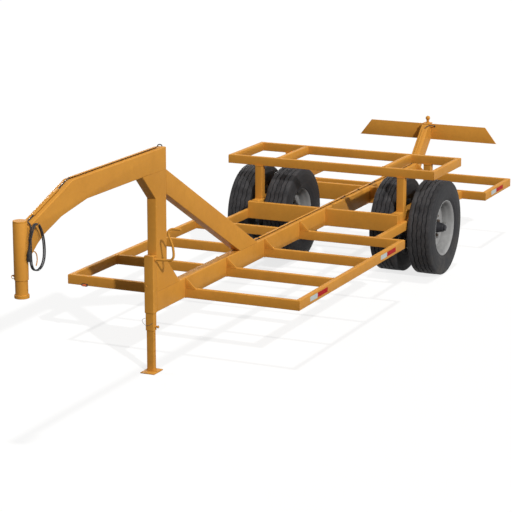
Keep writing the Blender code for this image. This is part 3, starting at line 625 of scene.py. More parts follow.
def carve(work, cutter):
    """Cut a closed shape out of another; returns what is left."""
    holders = [add_object("carving", shape) for shape in (work, cutter)]
    step = holders[0].modifiers.new("carve", "BOOLEAN")
    step.operation = "DIFFERENCE"
    step.solver = "EXACT"
    step.object = holders[1]
    bpy.context.view_layer.update()
    shaped = holders[0].evaluated_get(bpy.context.evaluated_depsgraph_get())
    mesh = bpy.data.meshes.new_from_object(shaped)
    left = new_shape()
    left.from_mesh(mesh)
    for old in [mesh] + [holder.data for holder in holders]:
        bpy.data.meshes.remove(old)
    return left


# Welds: every bead is kept by its region and made at the end

WANDER = random.Random(7)
RIPPLES = (1.0, 0.95, 0.85)
WELDS = {}


def weld(region, path, size=1.0):
    """A bead along straight runs between points, with ripples and soft ends."""
    points = [Vector(point) for point in path]
    row = []
    for start, end in zip(points, points[1:]):
        pieces = max(1, round((end - start).length / BEAD_STEP))
        row += [start.lerp(end, piece / pieces) for piece in range(pieces)]
    row.append(points[-1])
    bead = []
    for number, point in enumerate(row):
        ripple = RIPPLES[number % len(RIPPLES)] * WANDER.uniform(0.94, 1.06)
        soft_end = min(1.0, 0.6 + 0.1 * min(number, len(row) - 1 - number))
        bead.append((*point, size * ripple * soft_end))
    WELDS.setdefault(region, []).append(bead)


def ring(low, high, axis, level, corner=DECK_CORNER, lift=BEAD_SEAT):
    """The path round a tube's section at one level along its axis."""
    first, second = (number for number in (X, Y, Z) if number != axis)
    path = []
    for quarter, (end_a, end_b) in enumerate(((high, high), (low, high), (low, low), (high, low))):
        side_a = 1 if end_a is high else -1
        side_b = 1 if end_b is high else -1
        centre_a = end_a[first] - side_a * corner
        centre_b = end_b[second] - side_b * corner
        for step in range(CORNER_STEPS + 1):
            turn = (quarter + step / CORNER_STEPS) * pi / 2
            point = [centre_a + (corner + lift) * cos(turn), centre_b + (corner + lift) * sin(turn)]
            point.insert(axis, level)
            path.append(point)
    return path + [path[0]]


def weld_end(region, node, axis, end, corner=DECK_CORNER, top=None):
    """Weld round one end of a straight tube that meets another's face."""
    low, high = (Vector(point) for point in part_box(node))
    if top is not None:
        high.z = top
    level = high[axis] - BEAD_SEAT if end > 0 else low[axis] + BEAD_SEAT
    weld(region, ring(low, high, axis, level, corner))


def weld_mitre(region, outer, inner, bottom, top):
    """Weld round a mitred corner: over it, down its inner edge, back below and up its outer edge."""
    outer, inner = Vector(outer), Vector(inner)
    inset = (inner - outer).normalized() * DECK_CORNER
    path = []
    for points, level, lean in (((outer, outer + inset, inner - inset, inner), top, -1),
                                ((inner, inner - inset, outer + inset, outer), bottom, 1)):
        for number, point in enumerate(points):
            drop = DECK_CORNER if number in (0, 3) else BEAD_SEAT
            path.append((*point, level + lean * drop))
    weld(region, path + [path[0]], SEAM)


# Camera, lights and floor

SENSOR_WIDTH_MM = 36.0
LENS_MM = 140.6
CLIP_END = 200.0
CAMERA_PLACE = (8.7863, -19.3621, 5.6828)
CAMERA_DOWN = 13.515
CAMERA_TURN = 24.717


def build_camera():
    data = bpy.data.cameras.new("camera")
    data.sensor_width = SENSOR_WIDTH_MM
    data.lens = LENS_MM
    data.clip_end = CLIP_END
    camera = bpy.data.objects.new("camera", data)
    camera.location = CAMERA_PLACE
    camera.rotation_euler = (radians(90 - CAMERA_DOWN), 0, radians(CAMERA_TURN))
    bpy.context.scene.collection.objects.link(camera)
    bpy.context.scene.camera = camera


LAMPS = (
    # name, azimuth from the front to the left side, elevation, strength, spread
    ("key", 49.5, 35, 2.42, 1.5),
    ("side", 90, 3, 0.72, 2.0),
    ("top", 90, 87, 1.36, 4.0),
    ("back", 222, 9, 1.30, 4.0),
)
LAMP_COLOUR = (1.0, 0.985, 0.96)
SKY_STRENGTH = 0.15
WHITE = (1, 1, 1, 1)
FLOOR_HALF = 60.0
FLOOR_SHADOW = 0.22
FLOOR_GREY = (0.15, 0.148, 0.144, 1)


def backdrop_rays(tree):
    """One for the rays that see the white backdrop: the camera's, and those off metal and through glass."""
    rays = tree.nodes.new("ShaderNodeLightPath").outputs
    shown = math_node(tree, "MAXIMUM", rays["Is Camera Ray"], rays["Is Glossy Ray"])
    return math_node(tree, "MAXIMUM", shown, rays["Is Transmission Ray"])


def build_lights():
    for name, azimuth, elevation, strength, spread in LAMPS:
        light = bpy.data.lights.new(name, "SUN")
        light.energy = strength
        light.angle = radians(spread)
        light.color = LAMP_COLOUR
        lamp = bpy.data.objects.new(name, light)
        turn, rise = radians(azimuth), radians(elevation)
        toward = Vector((sin(turn) * cos(rise), -cos(turn) * cos(rise), sin(rise)))
        lamp.rotation_euler = toward.to_track_quat("Z", "Y").to_euler()
        bpy.context.scene.collection.objects.link(lamp)
    world = bpy.data.worlds.new("studio")
    world.use_nodes = True
    tree = world.node_tree
    sky = tree.nodes["Background"]
    sky.inputs["Color"].default_value = WHITE
    sky.inputs["Strength"].default_value = SKY_STRENGTH
    white = tree.nodes.new("ShaderNodeBackground")
    white.inputs["Color"].default_value = WHITE
    mix = tree.nodes.new("ShaderNodeMixShader")
    link_nodes(tree, (backdrop_rays(tree), mix.inputs[0]), (sky.outputs[0], mix.inputs[1]),
               (white.outputs[0], mix.inputs[2]), (mix.outputs[0], tree.nodes["World Output"].inputs[0]))
    bpy.context.scene.world = world


def build_floor():
    """A pale floor: white to the camera with a faint shadow, and darker to the light that it returns."""
    work = bmesh.new()
    bmesh.ops.create_grid(work, x_segments=1, y_segments=1, size=FLOOR_HALF)
    floor = add_object("floor", work)
    paint = bpy.data.materials.new("floor")
    paint.use_nodes = True
    tree = paint.node_tree
    matt = tree.nodes["Principled BSDF"]
    matt.inputs["Base Color"].default_value = FLOOR_GREY
    matt.inputs["Roughness"].default_value = 0.95
    matt.inputs["Specular IOR Level"].default_value = 0.0
    pale = tree.nodes.new("ShaderNodeBsdfDiffuse")
    pale.inputs["Color"].default_value = WHITE
    glow = tree.nodes.new("ShaderNodeEmission")
    glow.inputs["Strength"].default_value = 1.0
    blend = tree.nodes.new("ShaderNodeMixShader")
    blend.inputs[0].default_value = FLOOR_SHADOW
    mix = tree.nodes.new("ShaderNodeMixShader")
    link_nodes(tree, (glow.outputs[0], blend.inputs[1]), (pale.outputs[0], blend.inputs[2]),
               (backdrop_rays(tree), mix.inputs[0]), (matt.outputs[0], mix.inputs[1]),
               (blend.outputs[0], mix.inputs[2]), (mix.outputs[0], tree.nodes["Material Output"].inputs[0]))
    floor.data.materials.append(paint)


bpy.context.scene.view_settings.view_transform = "Standard"
build_camera()
build_lights()
build_floor()


# The lead: a free run from the wire guard, two turns hung in a hank, and a tail to its plug

LEAD_D = 0.013
LEAD_ROUTE = (
    # x, station, height: from the wire guard's mouth to the hank
    (0.0000, -2.7931, 1.2899), (0.0000, -2.8300, 1.2770), (0.0000, -2.8680, 1.2665),
    (0.0060, -2.9000, 1.2615), (0.0260, -2.9250, 1.2580), (0.0520, -2.9380, 1.2490),
    (0.0705, -2.9510, 1.2260), (0.0765, -2.9720, 1.1870),
)
HANK_MIDDLE = -2.888
HANK_TURNS = 2
FIRST_POINT = 3
LOOP = (
    # station from the middle, height, from the top down the front and up the rear
    (-0.029, 1.250), (-0.070, 1.236), (-0.096, 1.195), (-0.104, 1.130), (-0.107, 1.050), (-0.108, 0.970),
    (-0.102, 0.910), (-0.078, 0.865), (-0.034, 0.842), (0.016, 0.8405), (0.062, 0.862), (0.093, 0.904),
    (0.106, 0.960), (0.105, 1.030), (0.090, 1.105), (0.058, 1.180), (0.016, 1.235),
)
LOOP_INNER_X = 0.0755
LOOP_PITCH = 0.0165
LEAD_STEP = 0.012
PLUG_RIBS = 6
PLUG_PINS = 6
PIN_R = 0.0022
TAIL = (
    # x, station, height: over the hank's top and down to the plug
    (0.1105, -2.9570, 1.2370), (0.1125, -2.9880, 1.2000), (0.1090, -3.0100, 1.1500),
    (0.0990, -3.0215, 1.1000), (0.0925, -3.0243, 1.0650), (0.0920, -3.0243, 1.0400),
)


def lead_line():
    """The lead's centreline: the run, the hank's turns each further out, and the tail."""
    points = [at(*entry) for entry in LEAD_ROUTE]
    for step in range(FIRST_POINT, HANK_TURNS * len(LOOP) + 1):
        offset, height = LOOP[step % len(LOOP)]
        x = LOOP_INNER_X + LOOP_PITCH * step / len(LOOP)
        points.append(at(x, HANK_MIDDLE + offset, height))
    points += [at(*entry) for entry in TAIL]
    return smooth_path(points, LEAD_STEP)


def build_plug():
    """Round trailer plug: a ribbed grip, a coupling body and the boot that the lead enters."""
    low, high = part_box("lead_plug")
    centre = (low + high) / 2
    radius = (high.x - low.x) / 2
    tall = high.z - low.z
    profile = [(0, tall / 2), (radius * 0.42, tall / 2), (radius * 0.55, tall * 0.40),
               (radius * 0.60, tall * 0.30), (radius * 0.86, tall * 0.24)]
    for rib in range(PLUG_RIBS):
        level = tall * (0.22 - 0.055 * rib)
        profile += [(radius * 0.93, level), (radius * 0.93, level - 0.003), (radius * 0.86, level - 0.0036)]
    profile += [(radius, -tall * 0.16), (radius, -tall * 0.46), (radius * 0.94, -tall / 2),
                (radius * 0.76, -tall / 2), (radius * 0.74, -tall * 0.34), (0, -tall * 0.34)]
    plug = new_piece("plug", turned(profile, 32, centre), LEAD_RUBBER)
    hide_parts("lead_plug")
    pin = [(0, tall * 0.13), (PIN_R, tall * 0.13), (PIN_R, 0.001), (0.0014, 0), (0, 0)]
    spots = [centre + Vector((cos(turn) * radius * 0.42, sin(turn) * radius * 0.42, -tall * 0.46))
             for turn in (number * 2 * pi / PLUG_PINS for number in range(PLUG_PINS))]
    new_piece("plug_pins", joined(turned(pin, 12, spot) for spot in spots), ZINC)
    return plug


def build_lead():
    line = lead_line()
    lead = tube_run("lead", [line], LEAD_D / 2, LEAD_RUBBER, sides=12)
    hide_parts("lead_run", "lead_hank")


plug_piece = build_plug()
build_lead()


# Frame tubes

def end_cut(low, high, axis, cross, end, removed):
    """The mitre plane at one end of a tube: its outer corner and the way that is cut off."""
    point = Vector((0, 0, 0))
    point[axis] = high[axis] if end > 0 else low[axis]
    point[cross] = low[cross] if removed > 0 else high[cross]
    outward = Vector((0, 0, 0))
    outward[axis], outward[cross] = end, removed
    return point, outward.normalized()


def dress_tube(node, axis, corner=DECK_CORNER, mitres=(), top=None):
    """Replace a straight tube of the frame by one with rounded corners.

    mitres are rows of cross axis, end and cut side; top limits the height where a plate stands on it.
    """
    low, high = (Vector(corner_point) for corner_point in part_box(node))
    if top is not None:
        high.z = top
    work = tube(low, high, axis, corner)
    for cross, end, removed in mitres:
        cut_end(work, *end_cut(low, high, axis, cross, end, removed))
    frame_piece(node + "_tube", work, node)


INCH = 0.0254
GUSSET_REACH = 0.115
GUSSET_T = 0.375 * INCH
GUSSET_INSET = 0.0015


def gusset(side, front):
    """The plate on an outrigger that runs up to the spine's top, and its welds."""
    near = SPINE_SIDE + FIT
    faces = (front + GUSSET_INSET, front + GUSSET_INSET + GUSSET_T)
    for face, way in zip(faces, (-1, 1)):
        seat = face + way * BEAD_SEAT
        weld("deck", [(side * (near + GUSSET_REACH - 0.003), seat, DECK_TOP + BEAD_SEAT * way),
                      (side * (near + 0.004), seat, DECK_TOP + BEAD_SEAT * way)])
        weld("deck", [(side * (near + BEAD_SEAT), seat, DECK_TOP + 0.004),
                      (side * (near + BEAD_SEAT), seat, SPINE_TOP - 0.006)])
    outline = [(near, DECK_TOP - 0.001), (near + GUSSET_REACH, DECK_TOP - 0.001),
               (near + GUSSET_T, SPINE_TOP), (near, SPINE_TOP)]
    return plate([(side * x, z) for x, z in outline], Y, *faces, PLATE_EDGE)


def outriggers():
    """Rows of node name, side and mitre: 1 ahead of its rail's corner, -1 behind it, 0 at its side."""
    for word, side in SIDES:
        for number, mitre in ((1, 1), (2, 0), (3, 0), (4, -1)):
            yield f"deck_outrigger_{word}_{number}", side, mitre
        yield f"tail_outrigger_{word}_front", side, 1
        yield f"tail_outrigger_{word}_rear", side, -1


def build_decks():
    plates = []
    for node, side, mitre in outriggers():
        low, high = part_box(node)
        dress_tube(node, X, mitres=[(Y, side, mitre)] if mitre else [], top=DECK_TOP)
        weld_end("deck", node, X, -side, top=DECK_TOP)
        plates.append(gusset(side, low.y))
        if mitre:
            outer_y, inner_y = (low.y, high.y) if mitre > 0 else (high.y, low.y)
            weld_mitre("deck", (side * HALF_WIDTH, outer_y), (side * (HALF_WIDTH - TUBE_W), inner_y),
                       DECK_BOTTOM, DECK_TOP)
        else:
            weld_end("deck", node, X, side, top=DECK_TOP)
    frame_piece("spine_gussets", joined(plates))
    for word, side in SIDES:
        for node in (f"deck_side_rail_{word}", f"tail_side_rail_{word}"):
            dress_tube(node, Y, mitres=[(X, -1, -side), (X, 1, -side)])


STITCH = 0.060
STITCH_PITCH = 0.300
STITCH_INSET = 0.05


def stitch_rail(word, side):
    """Short welds that hold the long rail against the side member."""
    low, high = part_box(f"bay_side_member_{word}")
    face = side * max(abs(low.x), abs(high.x))
    start = low.y + STITCH_INSET
    while start < high.y - STITCH:
        weld("bay", [(face + side * BEAD_SEAT, start, DECK_TOP + BEAD_SEAT),
                     (face + side * BEAD_SEAT, start + STITCH, DECK_TOP + BEAD_SEAT)], 1.2)
        weld("bay", [(face, start, DECK_BOTTOM + 0.001), (face, start + STITCH, DECK_BOTTOM + 0.001)])
        start += STITCH_PITCH


def build_bay_and_rack():
    rack_low, rack_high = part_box("rack_tube_front")[0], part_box("rack_tube_rear")[1]
    for word, side in SIDES:
        for end in ("front", "rear"):
            beam, post = f"bay_beam_{word}_{end}", f"rack_post_{word}_{end}"
            dress_tube(beam, X, SPINE_CORNER)
            weld_end("bay", beam, X, -side, SPINE_CORNER)
            low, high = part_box(beam)
            rail_face = side * (max(abs(low.x), abs(high.x)) + FIT - BEAD_SEAT)
            for y in (low.y - BEAD_SEAT, high.y + BEAD_SEAT):
                weld("bay", [(rail_face, y, DECK_BOTTOM + 0.006), (rail_face, y, DECK_TOP - 0.006)])
            dress_tube(post, Z)
            weld_end("rack", post, Z, -1)
            weld_end("rack", post, Z, 1)
        member, rail = f"bay_side_member_{word}", f"bay_long_rail_{word}"
        dress_tube(member, Y, SPINE_CORNER)
        dress_tube(rail, Y)
        stitch_rail(word, side)
        dress_tube(f"rack_bar_{word}", Y)
        dress_tube(f"rack_end_{word}", Y, mitres=[(X, -1, -side), (X, 1, -side)])
        for end in (-1, 1):
            weld_end("bay", member, Y, end, SPINE_CORNER)
            weld_end("bay", rail, Y, end)
            weld_end("rack", f"rack_bar_{word}", Y, end)
            outer_y = rack_low.y if end < 0 else rack_high.y
            weld_mitre("rack", (side * rack_high.x, outer_y),
                       (side * (rack_high.x - TUBE_W), outer_y - end * TUBE_W), rack_low.z, rack_high.z)
    dress_tube("rack_tube_front", X, mitres=[(Y, -1, 1), (Y, 1, 1)])
    dress_tube("rack_tube_rear", X, mitres=[(Y, -1, -1), (Y, 1, -1)])


# Spine, mast, upright, brace and neck, from side outlines of stations and heights over the deck

def on_side(station, height):
    """A station and a height over the deck as the two places of a side outline."""
    return DECK_FRONT + station, DECK_TOP + height


def side_form(outline, sharp):
    """A form as wide as the spine; the outline's runs in sharp lie against another and aren't rounded."""
    work = plate(outline, X, -SPINE_SIDE, SPINE_SIDE)
    middles = [(Vector(start) + Vector(end)) / 2 for start, end in zip(outline, outline[1:] + outline[:1])]
    rounded = [middle for number, middle in enumerate(middles) if number not in sharp]
    chosen = []
    for edge in work.edges:
        first, second = (vert.co for vert in edge.verts)
        middle = Vector(((first.y + second.y) / 2, (first.z + second.z) / 2))
        in_side = abs(first.x - second.x) < NEAR
        if in_side and any((middle - spot).length < NEAR for spot in rounded):
            chosen.append(edge)
    round_edges(work, chosen, SPINE_CORNER, CORNER_STEPS)
    return work


def groove(region, path, size=1.2):
    """A bead in the groove between two flush tubes, on both sides of the spine's line."""
    for _, side in SIDES:
        weld(region, [(side * (SPINE_SIDE - GROOVE_SEAT), y, z) for y, z in path], size)


def across(region, station, height, size=1.0):
    """A bead across the spine's width."""
    y, z = on_side(station, height)
    half = SPINE_SIDE - 0.005
    weld(region, [(-half, y, z), (half, y, z)], size)


SPINE_RISE = SPINE_TOP - DECK_TOP
MAST_LEAN = (SPINE_TOP - DECK_BOTTOM) * tan(MAST_ANGLE / 2)
MAST_LOW, MAST_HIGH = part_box("mast")
BRACE_LOW, BRACE_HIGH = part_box("brace")
MAST_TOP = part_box("tail_plate")[1].z - DECK_TOP
NECK_BELLY = (
    # station, height
    (-1.930, 1.279), (-2.390, 1.207), (-2.690, 1.110), (-2.810, 1.047), (-2.949, 0.945),
)


def neck_top_at(station):
    return NECK_TOP - max(0, NECK_BEND - station) * tan(NECK_SLOPE)


def brace_top_at(station):
    return NECK_BOTTOM - (station - UPRIGHT_REAR) * tan(BRACE_ANGLE)


def spine_top_at(_):
    return SPINE_RISE


def mast_top_at(station):
    return SPINE_RISE + (station - ELBOW) * tan(MAST_ANGLE)


def build_spine_tube():
    under = DECK_BOTTOM - DECK_TOP
    outline = [on_side(SPINE_FRONT, under), on_side(ELBOW + MAST_LEAN, under),
               on_side(ELBOW, SPINE_RISE), on_side(SPINE_FRONT, SPINE_RISE)]
    frame_piece("spine_tube", side_form(outline, (1, 3)), "spine")


def build_mast():
    foot = (MAST_LOW.y + MAST_LEAN, MAST_LOW.z)
    back = MAST_HIGH.y
    top = MAST_TOP + DECK_TOP
    front = MAST_LOW.y
    outline = [foot, (back, foot[1] + (back - foot[0]) * tan(MAST_ANGLE)), (back, top),
               (front + (top - SPINE_TOP) / tan(MAST_ANGLE), top), (front, SPINE_TOP)]
    frame_piece("mast_tube", side_form(outline, (1, 2, 4)), "mast")
    for _, side in SIDES:
        face = side * (SPINE_SIDE + 0.0004)
        weld("spine", [(face, *on_side(ELBOW + MAST_LEAN, DECK_BOTTOM - DECK_TOP + 0.006)),
                       (face, *on_side(ELBOW + 0.003, SPINE_RISE - 0.008))], SEAM * 0.8)
        corner, seat = side * (SPINE_SIDE + BEAD_SEAT), back - BEAD_SEAT
        weld("spine", [(corner, seat, outline[1][1] + 0.004), (corner, seat, top - 0.002)])
    across("spine", ELBOW, SPINE_RISE, SEAM)
    across("spine", ELBOW + MAST_LEAN, DECK_BOTTOM - DECK_TOP, SEAM)


def build_upright():
    bottom, foot = NECK_BOTTOM - FIT, SPINE_RISE + FIT
    toe = UPRIGHT_REAR + FOOT_GUSSET
    outline = [on_side(SPINE_FRONT, foot), on_side(SPINE_FRONT, bottom - KNEE_DROP),
               on_side(SPINE_FRONT - KNEE_REACH, bottom), on_side(UPRIGHT_REAR, bottom),
               on_side(UPRIGHT_REAR, foot + FOOT_GUSSET), on_side(toe, foot)]
    frame_piece("upright_tube", side_form(outline, (2, 5)), "upright")
    groove("spine", [on_side(SPINE_FRONT + 0.004, SPINE_RISE), on_side(toe - 0.004, SPINE_RISE)])
    groove("spine", [on_side(SPINE_FRONT - KNEE_REACH + 0.006, NECK_BOTTOM),
                     on_side(UPRIGHT_REAR - 0.004, NECK_BOTTOM)])
    across("spine", toe + 0.001, SPINE_RISE + 0.001)
    across("spine", SPINE_FRONT - KNEE_REACH - 0.001, NECK_BOTTOM - 0.001)


def build_brace():
    start, rear = BRACE_LOW.y, BRACE_HIGH.y
    high, foot = DECK_TOP + NECK_BOTTOM, BRACE_LOW.z
    low = high - BRACE_DEPTH / cos(BRACE_ANGLE)
    heel = start + (low - foot) / tan(BRACE_ANGLE)
    outline = [(start, high), (start, low), (heel, foot), (rear, foot)]
    frame_piece("brace_tube", side_form(outline, (0, 2)), "brace")
    groove("spine", [(start, high - 0.006), (start, low + 0.004)])
    groove("spine", [(heel + 0.006, foot), (rear - 0.012, foot)])
    half = SPINE_SIDE - 0.005
    for y, z in ((start + BEAD_SEAT, low - BEAD_SEAT), (heel - BEAD_SEAT, foot + BEAD_SEAT),
                 (rear + BEAD_SEAT, foot + BEAD_SEAT)):
        weld("spine", [(-half, y, z), (half, y, z)])


COUPLER_LOW, COUPLER_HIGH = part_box("coupler_tube")
COUPLER_Y = (COUPLER_LOW.y + COUPLER_HIGH.y) / 2
COUPLER_R = COUPLER_HIGH.x
SADDLE_STEPS = 10


def build_neck():
    """The neck: a tube whose bent nose is coped to the coupler and welded all round the cope."""
    nose = COUPLER_Y - DECK_FRONT
    outline = [on_side(UPRIGHT_REAR, NECK_TOP), on_side(UPRIGHT_REAR, NECK_BOTTOM),
               on_side(SPINE_FRONT - KNEE_REACH, NECK_BOTTOM)]
    outline += [on_side(*point) for point in NECK_BELLY]
    outline += [on_side(nose, NECK_BELLY[-1][1]), on_side(nose, neck_top_at(nose)),
                on_side(NECK_BEND, NECK_TOP)]
    work = side_form(outline, (0, 1))
    radius = COUPLER_R + FIT
    low, high = DECK_TOP + NECK_BELLY[-1][1] - 0.05, DECK_TOP + NECK_TOP
    cope = turned([(0, high), (radius, high), (radius, low), (0, low)], 72, (0, COUPLER_Y, 0))
    frame_piece("neck_tube", carve(work, cope), "neck")
    half_turn = asin(SPINE_SIDE / radius)
    turns = [half_turn * (1 - 2 * step / SADDLE_STEPS) for step in range(SADDLE_STEPS + 1)]
    saddle = [((radius + 0.001) * sin(turn), COUPLER_Y + (radius + 0.001) * cos(turn)) for turn in turns]
    path = [(x, y, DECK_TOP + neck_top_at(y - DECK_FRONT) + 0.001) for x, y in saddle]
    path += [(x, y, DECK_TOP + NECK_BELLY[-1][1] - 0.001) for x, y in reversed(saddle)]
    weld("spine", path + [path[0]])


build_decks()
build_bay_and_rack()
build_spine_tube()
build_mast()
build_upright()
build_brace()
build_neck()


# Coupler

COUPLER_BORE = 0.0573
COUPLER_CAP = 0.010
COUPLER_CHAMFER = 0.003
COUPLER_SIDES = 96
BALL_TUBE_R = 0.0565
COLLAR_H = 0.030
SOCKET_R = 0.031
SOCKET_LEAD = 0.038
SOCKET_DEPTH = 0.110
PIN_HOLE_R = 0.0075
PIN_HOLES = (0.683, 0.758, 0.833, 0.908, 0.983)
DRILL_REACH = 0.09
CLAMP_HEIGHT = 0.797
CLAMP_NUT_R = 0.013
CLAMP_NUT_H = 0.012
CLAMP_EYE = (0.020, 0.0055)
CLAMP_RING_R = 0.0160
CLAMP_WIRE_R = 0.0028
CLAMP_RING_TURN = radians(20)
RING_STEPS = 24


def ring_loop(top, radius, facing):
    """The path of a wire ring that hangs from a point, turned about the vertical."""
    path = []
    for step in range(RING_STEPS + 1):
        turn = 2 * pi * step / RING_STEPS
        flat = Vector((radius * sin(turn), 0, radius * cos(turn) - radius))
        path.append(top + Matrix.Rotation(facing, 3, "Z") @ flat)
    return path


def drilled(work, radius, floor, heights, middle):
    """Blind holes from both sides of an upright, at heights over the deck."""
    profile = [(0, DRILL_REACH), (radius, DRILL_REACH), (radius, floor), (0, floor)]
    drill = joined(turned(profile, 20, (0, middle, DECK_TOP + height), axis)
                   for height in heights for axis in ("X", "-X"))
    return carve(work, drill)


def build_coupler():
    """The outer tube with its cap, the ball tube that slides in it, and the clamp screw with its ring."""
    top, bottom = COUPLER_HIGH.z, COUPLER_LOW.z
    lip, edge, under = COUPLER_R - COUPLER_CHAMFER, top - COUPLER_CHAMFER, top - COUPLER_CAP
    work = turned([(0, top), (lip, top), (COUPLER_R, edge), (COUPLER_R, under),
                   (COUPLER_R - 0.001, under - 0.002), (COUPLER_R, under - 0.004),
                   (COUPLER_R, bottom + 0.002), (COUPLER_R - 0.002, bottom), (COUPLER_BORE + 0.001, bottom),
                   (COUPLER_BORE, bottom + 0.001), (COUPLER_BORE, under), (0, under)],
                  COUPLER_SIDES, (0, COUPLER_Y, 0))
    frame_piece("coupler_outer", work, "coupler_tube")
    low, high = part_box("coupler_ball_tube")
    collar_r, collar_top, dome = high.x, low.z + COLLAR_H, low.z + SOCKET_DEPTH - SOCKET_R
    outside = [(0, high.z), (BALL_TUBE_R - 0.002, high.z), (BALL_TUBE_R, high.z - 0.002),
               (BALL_TUBE_R, collar_top + 0.004), (BALL_TUBE_R + 0.004, collar_top),
               (collar_r - 0.002, collar_top), (collar_r, collar_top - 0.002),
               (collar_r, low.z + 0.002), (collar_r - 0.002, low.z)]
    socket = [(SOCKET_LEAD, low.z), (SOCKET_R, low.z + SOCKET_LEAD - SOCKET_R)]
    socket += [(SOCKET_R * cos(angle), dome + SOCKET_R * sin(angle))
               for angle in (radians(step * 90 / 8) for step in range(9))]
    work = turned(outside + socket, COUPLER_SIDES, (0, COUPLER_Y, 0))
    work = drilled(work, PIN_HOLE_R, BALL_TUBE_R - 0.012, PIN_HOLES, COUPLER_Y)
    frame_piece("coupler_inner", work, "coupler_ball_tube", "coupler_ball_tube")
    seat = Vector((0.001 - COUPLER_R, COUPLER_Y, DECK_TOP + CLAMP_HEIGHT))
    screw = turned([(0, 0.034), (0.0035, 0.034), (0.0055, 0.032), (0.0055, CLAMP_NUT_H),
                    (0.0060, CLAMP_NUT_H), (0.0060, 0), (0, 0)], 24, seat, "-X")
    place = Matrix.Translation(seat - Vector((CLAMP_NUT_H / 2, 0, 0))) @ AXIS_TURNS["-X"]
    join_in(screw, hex_nut(CLAMP_NUT_R, CLAMP_NUT_R, CLAMP_NUT_H, 0.0008), place)
    frame_piece("coupler_clamp_screw", screw)
    eye = seat + Vector((-CLAMP_EYE[0], 0, CLAMP_EYE[1]))
    frame_rod("coupler_clamp_ring", ring_loop(eye, CLAMP_RING_R, CLAMP_RING_TURN), CLAMP_WIRE_R, 8)


build_coupler()


# Latch rod under the nose, and the peg that the hank hangs on

LATCH_ROUTE = (
    # x, station, height
    (0.010, -2.835, 1.010), (0.010, -2.820, 0.982), (0.010, -2.790, 0.966), (0.010, -2.766, 0.935),
    (0.010, -2.762, 0.885), (0.010, -2.780, 0.842),
)
LATCH_R = 0.0050
PEG_R = 0.0042
PEG_ROUTE = (
    # x, station, height
    (0.0480, -2.908, 1.2385), (0.0720, -2.908, 1.2385), (0.1120, -2.908, 1.2385),
    (0.1200, -2.908, 1.2420), (0.1235, -2.908, 1.2540), (0.1240, -2.908, 1.2660),
)


def build_neck_fittings():
    frame_rod("latch_rod", smooth_path([at(*entry) for entry in LATCH_ROUTE], 0.006), LATCH_R, 10)
    frame_rod("lead_peg", smooth_path([at(*entry) for entry in PEG_ROUTE], 0.005), PEG_R, 10)


build_neck_fittings()


# Jack

JACK_HOUSING = (0.0508, 0.0381)
JACK_SLEEVE = (0.04445, 0.03175)
JACK_LEG = (0.0381, 0.0254)
JACK_CLEARANCE = 0.0006
BORE_TOP = 0.450
SHELL_TOP = 0.460
CAP_LOW, CAP_TOP = 0.459, 0.468
CRANK_HEIGHT = 0.432
PULL_PIN_HEIGHT = -0.240
FRONT_SCREW = (-0.027, 0.165)
FOOT_T = 0.012
LEG_HOLE_R = 0.0075
LEG_HOLES = (-0.204, -0.261, -0.318, -0.375, -0.432, -0.489, -0.546)
CRANK = (
    # x, y from the jack, height
    (0.050, 0.000, CRANK_HEIGHT), (0.205, 0.000, 0.440), (0.235, 0.000, 0.452), (0.252, 0.000, 0.476),
    (0.254, 0.000, 0.520), (0.245, -0.004, 0.590), (0.222, -0.008, 0.655), (0.206, -0.010, 0.700),
    (0.206, -0.008, 0.728), (0.224, 0.000, 0.745), (0.252, 0.004, 0.752), (0.335, 0.006, 0.752),
)
CRANK_R = 0.0122
PULL_WIRE_R = 0.0020
PULL_WIRE = (
    # x, y from the jack, height
    (-0.0430, -0.0200, -0.1600), (-0.0580, -0.0300, -0.1620), (-0.0720, -0.0360, -0.1720),
    (-0.0785, -0.0360, -0.1890), (-0.0650, -0.0350, -0.2110), (-0.0370, -0.0345, -0.2300),
    (-0.0040, -0.0343, -0.2250), (0.0260, -0.0340, -0.2040), (0.0360, -0.0300, -0.2000),
)


